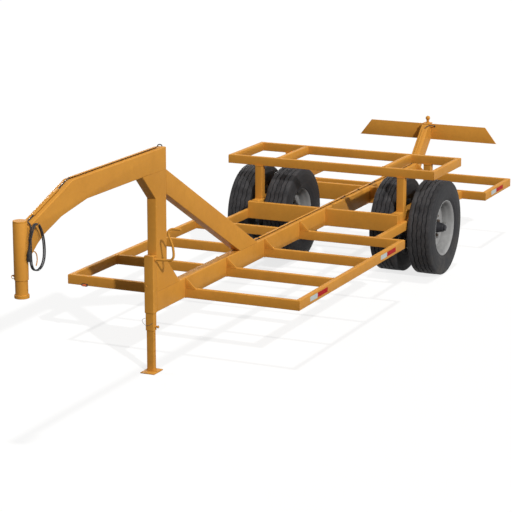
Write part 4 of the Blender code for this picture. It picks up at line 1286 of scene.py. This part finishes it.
def build_jack():
    """Jack housing, sleeve, cap, drop leg with its foot, crank, pull pin and pull wire."""
    low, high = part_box("jack_housing")
    leg_low, leg_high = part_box("jack_leg")
    centre_y = (leg_low.y + leg_high.y) / 2

    def spot(x, y, height):
        return Vector((x, centre_y + y, DECK_TOP + height))

    def column(half, bottom, top, corner):
        return tube((-half[0], centre_y - half[1], bottom), (half[0], centre_y + half[1], top), Z, corner)

    shell = column(JACK_HOUSING, DECK_BOTTOM, DECK_TOP + SHELL_TOP, 0.007)
    sleeve = column(JACK_SLEEVE, low.z, DECK_BOTTOM + 0.001, 0.006)
    bore = column([half + JACK_CLEARANCE for half in JACK_LEG], low.z - 0.05, DECK_TOP + BORE_TOP, 0.005)
    cap = block(spot(-JACK_HOUSING[0] + 0.002, -JACK_HOUSING[1] + 0.002, CAP_LOW),
                spot(JACK_HOUSING[0] - 0.002, JACK_HOUSING[1] - 0.002, CAP_TOP), 0.002)
    boss = turned([(0, 0.016), (0.0155, 0.016), (0.018, 0.0135), (0.018, -0.003), (0, -0.003)], 32,
                  spot(JACK_HOUSING[0], 0, CRANK_HEIGHT), "X")
    pin = turned([(0, 0.040), (0.0110, 0.040), (0.014, 0.037), (0.014, 0.028), (0.0115, 0.025),
                  (0.0065, 0.024), (0.0065, 0.016), (0.0105, 0.016), (0.012, 0.0145), (0.012, -0.003),
                  (0, -0.003)], 32, spot(JACK_SLEEVE[0], 0, PULL_PIN_HEIGHT), "X")
    screw_x, screw_height = FRONT_SCREW
    front_screw = turned([(0, 0.005), (0.0055, 0.005), (0.0075, 0.003), (0.0075, -0.001), (0, -0.001)], 20,
                         spot(screw_x, -JACK_HOUSING[1], screw_height), "-Y")
    body = joined([carve(shell, bore.copy()), carve(sleeve, bore), cap, boss, pin, front_screw])
    frame_piece("jack_shell", body, "jack_housing")
    leg_column = column(JACK_LEG, 0.008, leg_high.z, 0.005)
    leg_column = drilled(leg_column, LEG_HOLE_R, JACK_LEG[0] - 0.010, LEG_HOLES, centre_y)
    foot = block((leg_low.x, leg_low.y, 0), (leg_high.x, leg_high.y, FOOT_T), 0.002)
    frame_piece("jack_drop_leg", joined([leg_column, foot]), "jack_leg", "jack_leg")
    frame_rod("jack_crank", smooth_path([spot(*entry) for entry in CRANK], 0.008), CRANK_R, 16)
    pull_wire = smooth_path([spot(*entry) for entry in PULL_WIRE], 0.004)
    tube_run("jack_pull_wire", [pull_wire], PULL_WIRE_R, HUB_STEEL, sides=8)
    middle = Vector((0, centre_y, 0))
    groove("spine", [(centre_y + JACK_HOUSING[1], DECK_BOTTOM + 0.006),
                     (centre_y + JACK_HOUSING[1], DECK_TOP + 0.455)])
    half = Vector((*JACK_SLEEVE, 0))
    weld("spine", ring(middle - half, middle + half, Z, DECK_BOTTOM - BEAD_SEAT, 0.006))
    half = Vector((*JACK_LEG, 0))
    weld("jack_foot", ring(middle - half, middle + half, Z, FOOT_T + BEAD_SEAT, 0.005))


build_jack()


# Wheels

GROOVES = (
    # offset of the groove's middle, half width, depth
    (-0.073, 0.0058, 0.014), (-0.025, 0.0052, 0.014), (0.025, 0.0052, 0.014), (0.073, 0.0058, 0.014),
)
SHOULDER = (
    # share of the half width, share of the way from bead to tread
    (0.860, 0.993), (0.905, 0.972), (0.915, 0.948), (0.932, 0.930), (0.940, 0.885), (0.958, 0.800),
    (0.970, 0.735), (0.975, 0.730), (0.978, 0.715), (0.990, 0.600), (1.000, 0.500), (1.000, 0.420),
    (0.985, 0.320), (0.960, 0.240), (0.966, 0.225), (0.958, 0.205), (0.930, 0.170), (0.885, 0.110),
    (0.850, 0.070), (0.845, 0.030), (0.815, 0.004), (0.790, 0.000),
)
CROWN = 0.3
GROOVE_CHAMFER = 0.0015
GROOVE_FLOOR_SHARE = 0.62
ZIGZAG = 0.0048
ZIGZAG_STEPS = 3
ZIGZAG_REACH = 0.096
ZIGZAG_DEPTH = 0.02
TYRE_SPREAD = {
    # how far the tyre bulges past its solid at its disc's side, and at the other side
    "outer": (0.000, 0.020), "inner": (0.012, 0.010),
}


def tyre_section():
    """The tyre's section: offset and radius across the tread, down one wall, across the bore and up."""
    tread = []
    for middle, half, depth in GROOVES:
        top, floor = half + GROOVE_CHAMFER, half * GROOVE_FLOOR_SHARE
        for offset, drop in ((-top, 0), (-half, GROOVE_CHAMFER), (-floor, depth),
                             (floor, depth), (half, GROOVE_CHAMFER), (top, 0)):
            place = middle + offset
            tread.append((place, TYRE_R - CROWN * place ** 2 - drop))
    height = TYRE_R - BEAD_R
    wall = [(share * TYRE_HALF, BEAD_R + rise * height) for share, rise in SHOULDER]
    return [(-offset, radius) for offset, radius in reversed(wall)] + tread + wall


def build_tyre(word, centre, body, facing):
    """A tyre whose grooves run in a zigzag round it, bulged to each side by its spread."""
    front, back = TYRE_SPREAD[word.split("_")[1]]
    section = [(facing * offset * (1 + (front if offset > 0 else back) / TYRE_HALF), radius)
               for offset, radius in tyre_section()]
    work = bmesh.new()
    verts = [work.verts.new((offset, 0, radius)) for offset, radius in section]
    edges = [work.edges.new(pair) for pair in zip(verts, verts[1:])]
    edges.append(work.edges.new((verts[-1], verts[0])))
    spin_closed(work, verts + edges, (1, 0, 0), TYRE_STEPS)
    for vert in work.verts:
        spoke = Vector((vert.co.y, vert.co.z))
        if abs(vert.co.x) < ZIGZAG_REACH and spoke.length > TYRE_R - ZIGZAG_DEPTH:
            turn = round((spoke.angle_signed(Vector((0, 1))) / (2 * pi)) * TYRE_STEPS)
            wave = abs((turn % (2 * ZIGZAG_STEPS)) - ZIGZAG_STEPS) / ZIGZAG_STEPS * 2 - 1
            vert.co.x += wave * ZIGZAG
    bmesh.ops.translate(work, vec=centre, verts=work.verts)
    tyre = new_piece(f"truck_tyre_{word}", work, TYRE, body, 40)
    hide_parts(f"tyre_{word}")


def rim_profile():
    """The rim and its disc, outer side first: radius and distance along the axle."""
    return [
        (0.060, -0.023), (0.118, -0.023), (0.134, -0.0225), (0.150, -0.019), (0.180, -0.012),
        (0.222, -0.0055), (0.250, -0.0035), (0.268, -0.007), (0.2795, -0.014), (0.2795, 0.030),
        (0.286, 0.050), (0.292, 0.066), (0.296, 0.092), (0.304, 0.108), (0.314, 0.1195),
        (0.3195, 0.122), (0.3230, 0.1205), (0.3235, 0.117), (0.3200, 0.1135), (0.3130, 0.1125),
        (0.3110, 0.105), (0.3110, 0.085), (0.305, 0.078), (0.297, 0.060), (0.290, 0.040),
        (0.290, -0.040), (0.297, -0.060), (0.305, -0.078), (0.3110, -0.085), (0.3110, -0.105),
        (0.3130, -0.1125), (0.3200, -0.1135), (0.3235, -0.117), (0.3230, -0.1205), (0.3195, -0.122),
        (0.314, -0.1195), (0.304, -0.108), (0.296, -0.092), (0.286, -0.070), (0.2795, -0.045),
        (0.268, -0.020), (0.250, -0.0155), (0.222, -0.0175), (0.180, -0.024), (0.150, -0.031),
        (0.134, -0.0345), (0.118, -0.035), (0.060, -0.035), (0.060, -0.023),
    ]


HOLE_CIRCLE = 0.200
HOLE_LENGTH = 0.095
HOLE_WIDTH = 0.050
HOLE_STEPS = 12
HOLE_CUT = (-0.06, 0.03)
HOLE_EDGE = 0.002
HOLE_BAND = (0.16, 0.24)
HOLE_TURN = radians(50)


def make_rim():
    """The rim and disc about Z, with its two hand holes cut through and their edges rounded."""
    end = HOLE_WIDTH / 2
    reach = HOLE_LENGTH / 2 - end
    cutters = []
    for way in (-1, 1):
        outline = []
        for middle, start in ((reach, 0), (-reach, pi)):
            for step in range(HOLE_STEPS + 1):
                turn = start + pi * step / HOLE_STEPS
                outline.append((way * (HOLE_CIRCLE + end * cos(turn)), middle + end * sin(turn)))
        cutters.append(plate(outline, Z, *HOLE_CUT))
    rim = carve(turned(rim_profile(), WHEEL_STEPS), joined(cutters))
    nearest, furthest = HOLE_BAND
    sharp = [edge for edge in rim.edges if len(edge.link_faces) == 2
             and edge.calc_face_angle() > HOLE_TURN
             and nearest < hypot(edge.verts[0].co.x, edge.verts[0].co.y) < furthest]
    round_edges(rim, sharp, HOLE_EDGE, 2)
    return rim


def hub_profile():
    """Hub and its end cap, from the cap back over the flange: radius and distance."""
    return [
        (0, 0.134), (0.031, 0.134), (0.0350, 0.1305), (0.0358, 0.111), (0.0430, 0.110),
        (0.0470, 0.106), (0.0490, 0.090), (0.0560, 0.064), (0.0600, 0.055), (0.0620, 0.010),
        (0.0700, -0.004), (0.0780, -0.011), (0.1050, -0.0165), (0.1120, -0.0185), (0.1120, -0.0225),
        (0.060, -0.0225), (0.060, -0.0355), (0.0980, -0.0355), (0.1020, -0.040), (0.1020, -0.050),
        (0.0780, -0.060), (0.0740, -0.083), (0.0720, -0.085), (0.037, -0.085), (0.0368, 0.060),
        (0, 0.060),
    ]


NUT_R = (0.019, 0.0185)
NUT_H = 0.022
NUT_SEAT = -0.023
STUD_R = 0.0105
STUD_END = 0.036
VALVE = (
    # out from the axle, sideways, along the axle
    (0.262, 0.0, -0.010), (0.2560, 0.0, 0.010), (0.2500, 0.0, 0.030), (0.2440, 0.0, 0.056),
)
VALVE_R = 0.0042


def wheel_nut():
    """A wheel nut with the end of its stud."""
    nut = hex_nut(*NUT_R, NUT_H, 0.0012)
    bmesh.ops.translate(nut, vec=(0, 0, NUT_H / 2), verts=nut.verts)
    join_in(nut, turned([(0, STUD_END), (STUD_R - 0.0015, STUD_END), (STUD_R, STUD_END - 0.002),
                         (STUD_R, 0.010), (0, 0.010)], 16))
    return nut


def build_wheel(word, centre, body, facing, shape):
    """A rim with its hub, its valve stem and its ring of nuts."""
    axis = "X" if facing > 0 else "-X"
    turn = Matrix.Translation(centre) @ AXIS_TURNS[axis]
    bmesh.ops.transform(shape, matrix=turn, verts=shape.verts)
    rim = new_piece(f"rim_{word}", shape, RIM_GREY, body, 40)
    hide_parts(f"wheel_{word}")
    new_piece(f"hub_{word}", turned(hub_profile(), 64, centre, axis), AXLE_BLACK, body, 40)
    stem = [turn @ Matrix.Rotation(pi / 2, 4, "Z") @ Vector(point) for point in VALVE]
    tube_run(f"valve_{word}", [smooth_path(stem, 0.004)], VALVE_R, ZINC, body, 12)
    nuts = new_shape()
    for number in range(STUD_COUNT):
        join_in(nuts, wheel_nut(), turn @ Matrix.Rotation(2 * pi * number / STUD_COUNT, 4, "Z")
                @ Matrix.Translation((STUD_CIRCLE, 0, NUT_SEAT)))
    new_piece(f"wheel_nuts_{word}", nuts, HUB_STEEL, body, 40)


WHEELS = (("left_outer", 1), ("left_inner", -1), ("right_outer", -1), ("right_inner", 1))


def build_wheels():
    rim = make_rim()
    for word, facing in WHEELS:
        low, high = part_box(f"tyre_{word}")
        centre = (low + high) / 2
        body = f"wheel_{word}"
        build_tyre(word, centre, body, facing)
        build_wheel(word, centre, body, facing, rim.copy())
    rim.free()


AXLE_CORNER = 0.010
AXLE_SHORT = 0.091
SPINDLE_R = 0.036
SPINDLE_PAST = 0.073


def build_axles():
    """Square axle tubes with a spindle at each end, welded under the side members."""
    for word, side in SIDES:
        low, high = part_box(f"axle_{word}")
        wheels = [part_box(f"tyre_{word}_{place}") for place in ("outer", "inner")]
        half = (high.z - low.z) / 2
        middle = (low + high) / 2
        offset = abs((wheels[0][0].x + wheels[0][1].x) / 2 - middle.x)
        reach, tip = offset - AXLE_SHORT, offset + SPINDLE_PAST
        bar = tube((middle.x - reach, low.y, low.z), (middle.x + reach, high.y, high.z), X, AXLE_CORNER)
        spindle = turned([(0, tip), (SPINDLE_R - 0.002, tip), (SPINDLE_R, tip - 0.002),
                          (SPINDLE_R, 0.002 - tip), (SPINDLE_R - 0.002, -tip), (0, -tip)], 48, middle, "X")
        axle = new_piece(f"axle_{word}_bar", joined([bar, spindle]), AXLE_BLACK)
        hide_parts(f"axle_{word}")
        member_low, member_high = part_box(f"bay_side_member_{word}")
        seam = high.z + 0.0005
        for way in (-1, 1):
            y = middle.y + way * (half - 0.001)
            weld("bay", [(member_low.x + 0.006, y, seam), (member_high.x - 0.006, y, seam)], 1.4)


build_wheels()
build_axles()


# Wire guard along the neck, brace, spine and mast, with the lamp wiring in it

GUARD_W = 0.026
GUARD_H = 0.016
GUARD_T = 0.0028
GUARD_EDGE = 0.0007
GUARD_TACK = 0.022
TACK_PITCH = 0.45
TACK_INSET = 0.02
WIRE_R = 0.0055
WIRE_LIFT = 0.0072
GUARD_RUNS = (
    # line, first and last station
    (neck_top_at, -2.790, -2.360), (neck_top_at, -2.160, -0.500), (brace_top_at, -0.330, 0.420),
    (brace_top_at, 0.470, 1.665), (spine_top_at, 1.880, 4.270), (spine_top_at, 4.330, 4.710),
    (spine_top_at, 4.770, 5.200), (spine_top_at, 5.300, 6.550), (mast_top_at, 6.650, 7.040),
)
WIRE_ROUTE = (
    # station, lift out of the guard's line
    (-2.793, 0), (-2.600, 0), (-2.380, 0), (-2.270, 0.006), (-2.170, 0), (-1.900, 0), (-1.000, 0),
    (-0.520, 0), (-0.455, 0.0175),
)
WIRE_CORNER = (
    # station, height over the neck's rear edge and down to the brace
    (-0.412, 1.5180), (-0.378, 1.5060), (-0.3645, 1.4800), (-0.3620, 1.4200), (-0.3600, 1.3300),
    (-0.3480, 1.2880),
)
BRACE_STATIONS = (-0.300, 0.200, 0.445, 0.900, 1.400, 1.640)
BRACE_TOE = (0, 1.745, 0.0130)
SPINE_STATIONS = (1.850, 2.100, 4.250, 4.300, 4.350, 4.700, 4.740, 4.780, 5.190, 5.250, 5.310, 6.500)
BARE_STATIONS = (4.300, 4.740, 5.250)
BARE_LIFT = 0.004
ELBOW_STATION = 6.605
MAST_STATIONS = (6.680, 6.900, 7.010)
WIRE_END = (
    # x, station, height: off the mast's face, over its side edge and into the tail plate
    (0.004, 7.040, 0.4980), (0.022, 7.054, 0.5105), (0.044, 7.072, 0.5270), (0.064, 7.098, 0.5330),
    (0.084, 7.135, 0.5260), (0.096, 7.168, 0.5140), (0.098, 7.190, 0.5090),
)
GROMMET_R = WIRE_R + 0.0065


def guard_run(line, start, end):
    """One length of angle iron on its edge, open to the left side, with its tacks."""
    first = at(0, start, line(start))
    last = at(0, end, line(end))
    length = (last - first).length
    along = (last - first).normalized()
    up = Vector((1, 0, 0)).cross(along)
    half = GUARD_W / 2
    outline = [(-half, 0), (-half, GUARD_H), (half, GUARD_H), (half, GUARD_H - GUARD_T),
               (-half + GUARD_T, GUARD_H - GUARD_T), (-half + GUARD_T, 0)]
    iron = plate(outline, Y, 0, length, GUARD_EDGE)
    place = Matrix(((1, 0, 0), along, up)).transposed().to_4x4()
    place.translation = first
    bmesh.ops.transform(iron, matrix=place, verts=iron.verts)
    tacks = max(2, round(length / TACK_PITCH) + 1)
    for number in range(tacks):
        middle = first + along * (TACK_INSET + (length - 2 * TACK_INSET) * number / (tacks - 1))
        for x in (-half - 0.001, -half + GUARD_T + 0.001):
            spot = middle + Vector((x, 0, 0)) + up * 0.0008
            weld("guard", [spot - along * GUARD_TACK / 2, spot + along * GUARD_TACK / 2], 0.8)
    return iron


def build_wire_guard():
    irons = [guard_run(*entry) for entry in GUARD_RUNS]
    frame_piece("wire_guard", joined(irons), "wire_conduit")


def build_wiring():
    """The lamps' cable: in the guard, bare at its breaks, round the neck's rear and into the tail plate."""
    points = []
    for station, lift in WIRE_ROUTE:
        slope = NECK_SLOPE if station < NECK_BEND else 0
        points.append(at(0, station, neck_top_at(station) + lift + WIRE_LIFT / cos(slope)))
    points += [at(0, station, height) for station, height in WIRE_CORNER]
    for station in BRACE_STATIONS:
        points.append(at(0, station, brace_top_at(station) + WIRE_LIFT / cos(BRACE_ANGLE)))
    x, station, lift = BRACE_TOE
    points.append(at(x, station, SPINE_RISE + lift))
    for station in SPINE_STATIONS:
        bare = BARE_LIFT if station in BARE_STATIONS else 0
        points.append(at(0.001, station, SPINE_RISE + WIRE_LIFT + bare))
    points.append(at(0, ELBOW_STATION, SPINE_RISE + WIRE_LIFT + BARE_LIFT))
    for station in MAST_STATIONS:
        points.append(at(0, station, mast_top_at(station) + WIRE_LIFT / cos(MAST_ANGLE)))
    points += [at(*entry) for entry in WIRE_END]
    tube_run("lamp_wiring", [smooth_path(points, 0.02)], WIRE_R, LEAD_RUBBER, sides=8)
    x, station, height = WIRE_END[-1]
    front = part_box("tail_plate")[0].y
    grommet = turned([(0, 0.004), (WIRE_R + 0.002, 0.004), (GROMMET_R, 0.002), (GROMMET_R, -0.001),
                      (0, -0.001)], 24, (x, front, DECK_TOP + height), "-Y")
    new_piece("wire_grommet", grommet, LEAD_RUBBER)


build_wire_guard()
build_wiring()


# Marking tape on the side rails, the marker lamp and the tail lamps

TAPES = ((0.269, 0.712), (2.184, 2.631), (5.956, 6.411))
WHITE_SHARE = 0.42
TAPE_LOW, TAPE_HIGH = -0.072, -0.022
TAPE_T = 0.0005


def build_tapes():
    work = bmesh.new()
    work.faces.layers.float.new("red")
    for _, side in SIDES:
        for front, rear in TAPES:
            middle = front + WHITE_SHARE * (rear - front)
            for start, end, share in ((front, middle, 0.0), (middle, rear, 1.0)):
                strip = block((-TAPE_T, start, TAPE_LOW), (TAPE_T, end, TAPE_HIGH), 0.0004, 1)
                red = strip.faces.layers.float.new("red")
                for face in strip.faces:
                    face[red] = share
                join_in(work, strip, Matrix.Translation(at(side * HALF_WIDTH, 0, 0)))
    new_piece("marking_tapes", work, TAPE)


MARKER_X = -1.100
MARKER_HEIGHT = -0.094
MARKER_FOOT = (0.037, 0.0145)
MARKER_LENS = (0.024, 0.0105)
OVAL_STEPS = 24


def oval(half_x, half_z):
    """A round-ended outline of X and Z."""
    straight = half_x - half_z
    points = []
    for step in range(OVAL_STEPS + 1):
        turn = -pi / 2 + pi * step / OVAL_STEPS
        points.append((straight + half_z * cos(turn), half_z * sin(turn)))
    return points + [(-x, -z) for x, z in points]


def build_marker():
    """The small amber lamp in its rubber foot, at the front tube's lower edge."""
    place = at(MARKER_X, 0, MARKER_HEIGHT)
    foot = plate(oval(*MARKER_FOOT), Y, place.y - 0.010, place.y + 0.001, 0.0022)
    lens = plate(oval(*MARKER_LENS), Y, place.y - 0.021, place.y - 0.006, 0.0045)
    for shape in (foot, lens):
        bmesh.ops.translate(shape, vec=(place.x, 0, place.z), verts=shape.verts)
    new_piece("marker_foot", foot, LEAD_RUBBER)
    new_piece("marker_lens", lens, AMBER_LENS)


TAIL_TOP_HALF = 0.787
TAIL_BOTTOM_HALF = 0.943
TAIL_T = 0.5 * INCH
LAMP_X = 0.700
LAMP_R = 0.0508
PAD_T = 0.5 * INCH
REAR_BALL_STATION = 7.190
REAR_BALL_R = 0.0295
REAR_BALL_DROP = 0.02765
BALL_START, BALL_SPAN, BALL_STEPS = 21, 121.5, 16
COLLAR_OUT_R = 0.026


def build_tail():
    """The tail plate with its lamps, and the ball on its pad."""
    low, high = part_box("tail_plate")
    back = low.y + TAIL_T
    outline = [(-TAIL_TOP_HALF, high.z), (TAIL_TOP_HALF, high.z),
               (TAIL_BOTTOM_HALF, low.z), (-TAIL_BOTTOM_HALF, low.z)]
    frame_piece("tail_board", plate(outline, Y, low.y, back, 0.0018), "tail_plate")
    grommets, lenses = [], []
    for _, side in SIDES:
        centre = (side * LAMP_X, back, (low.z + high.z) / 2)
        grommets.append(turned([(0.044, 0.006), (0.0455, 0.0135), (0.0480, 0.0150), (0.0500, 0.0130),
                                (LAMP_R, 0.0080), (LAMP_R, -0.001), (0.030, -0.001), (0.030, 0.006),
                                (0.044, 0.006)], 64, centre, "Y"))
        lenses.append(turned([(0, 0.0210), (0.020, 0.0205), (0.034, 0.0190), (0.0410, 0.0165),
                              (0.0440, 0.0130), (0.0445, 0.0050), (0, 0.0050)], 64, centre, "Y"))
    new_piece("tail_lamp_grommets", joined(grommets), LEAD_RUBBER)
    new_piece("tail_lamp_lenses", joined(lenses), RED_LENS)
    pad_low, pad_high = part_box("hitch_ball")
    pad = block(pad_low, (pad_high.x, pad_high.y, pad_low.z + PAD_T), 0.0015)
    tall = pad_high.z - pad_low.z
    centre = tall - REAR_BALL_DROP
    stem = [(0, tall), (0.0090, tall)]
    turns = [radians(BALL_START + step * (BALL_SPAN / BALL_STEPS)) for step in range(BALL_STEPS + 1)]
    stem += [(REAR_BALL_R * sin(turn), centre + REAR_BALL_R * cos(turn)) for turn in turns]
    stem += [(0.0172, PAD_T + 0.012), (0.0182, PAD_T + 0.006), (0.0245, PAD_T + 0.006),
             (COLLAR_OUT_R, PAD_T + 0.0045), (COLLAR_OUT_R, PAD_T - 0.002), (0, PAD_T - 0.002)]
    ball = turned(stem, 64, (0, DECK_FRONT + REAR_BALL_STATION, pad_low.z))
    frame_piece("rear_ball", joined([pad, ball]), "hitch_ball")
    half = SPINE_SIDE - 0.003
    weld("spine", [(-half, pad_low.y - 0.001, pad_low.z), (half, pad_low.y - 0.001, pad_low.z)])
    groove("spine", [(pad_low.y + 0.004, pad_low.z - 0.001), (low.y - 0.002, pad_low.z - 0.001)])


def build_welds():
    for region, beads in WELDS.items():
        body = "jack_leg" if region == "jack_foot" else "chassis"
        tube_run(f"welds_{region}", beads, BEAD, WELD_OCHRE, body, 6)


build_tapes()
build_marker()
build_tail()
build_welds()
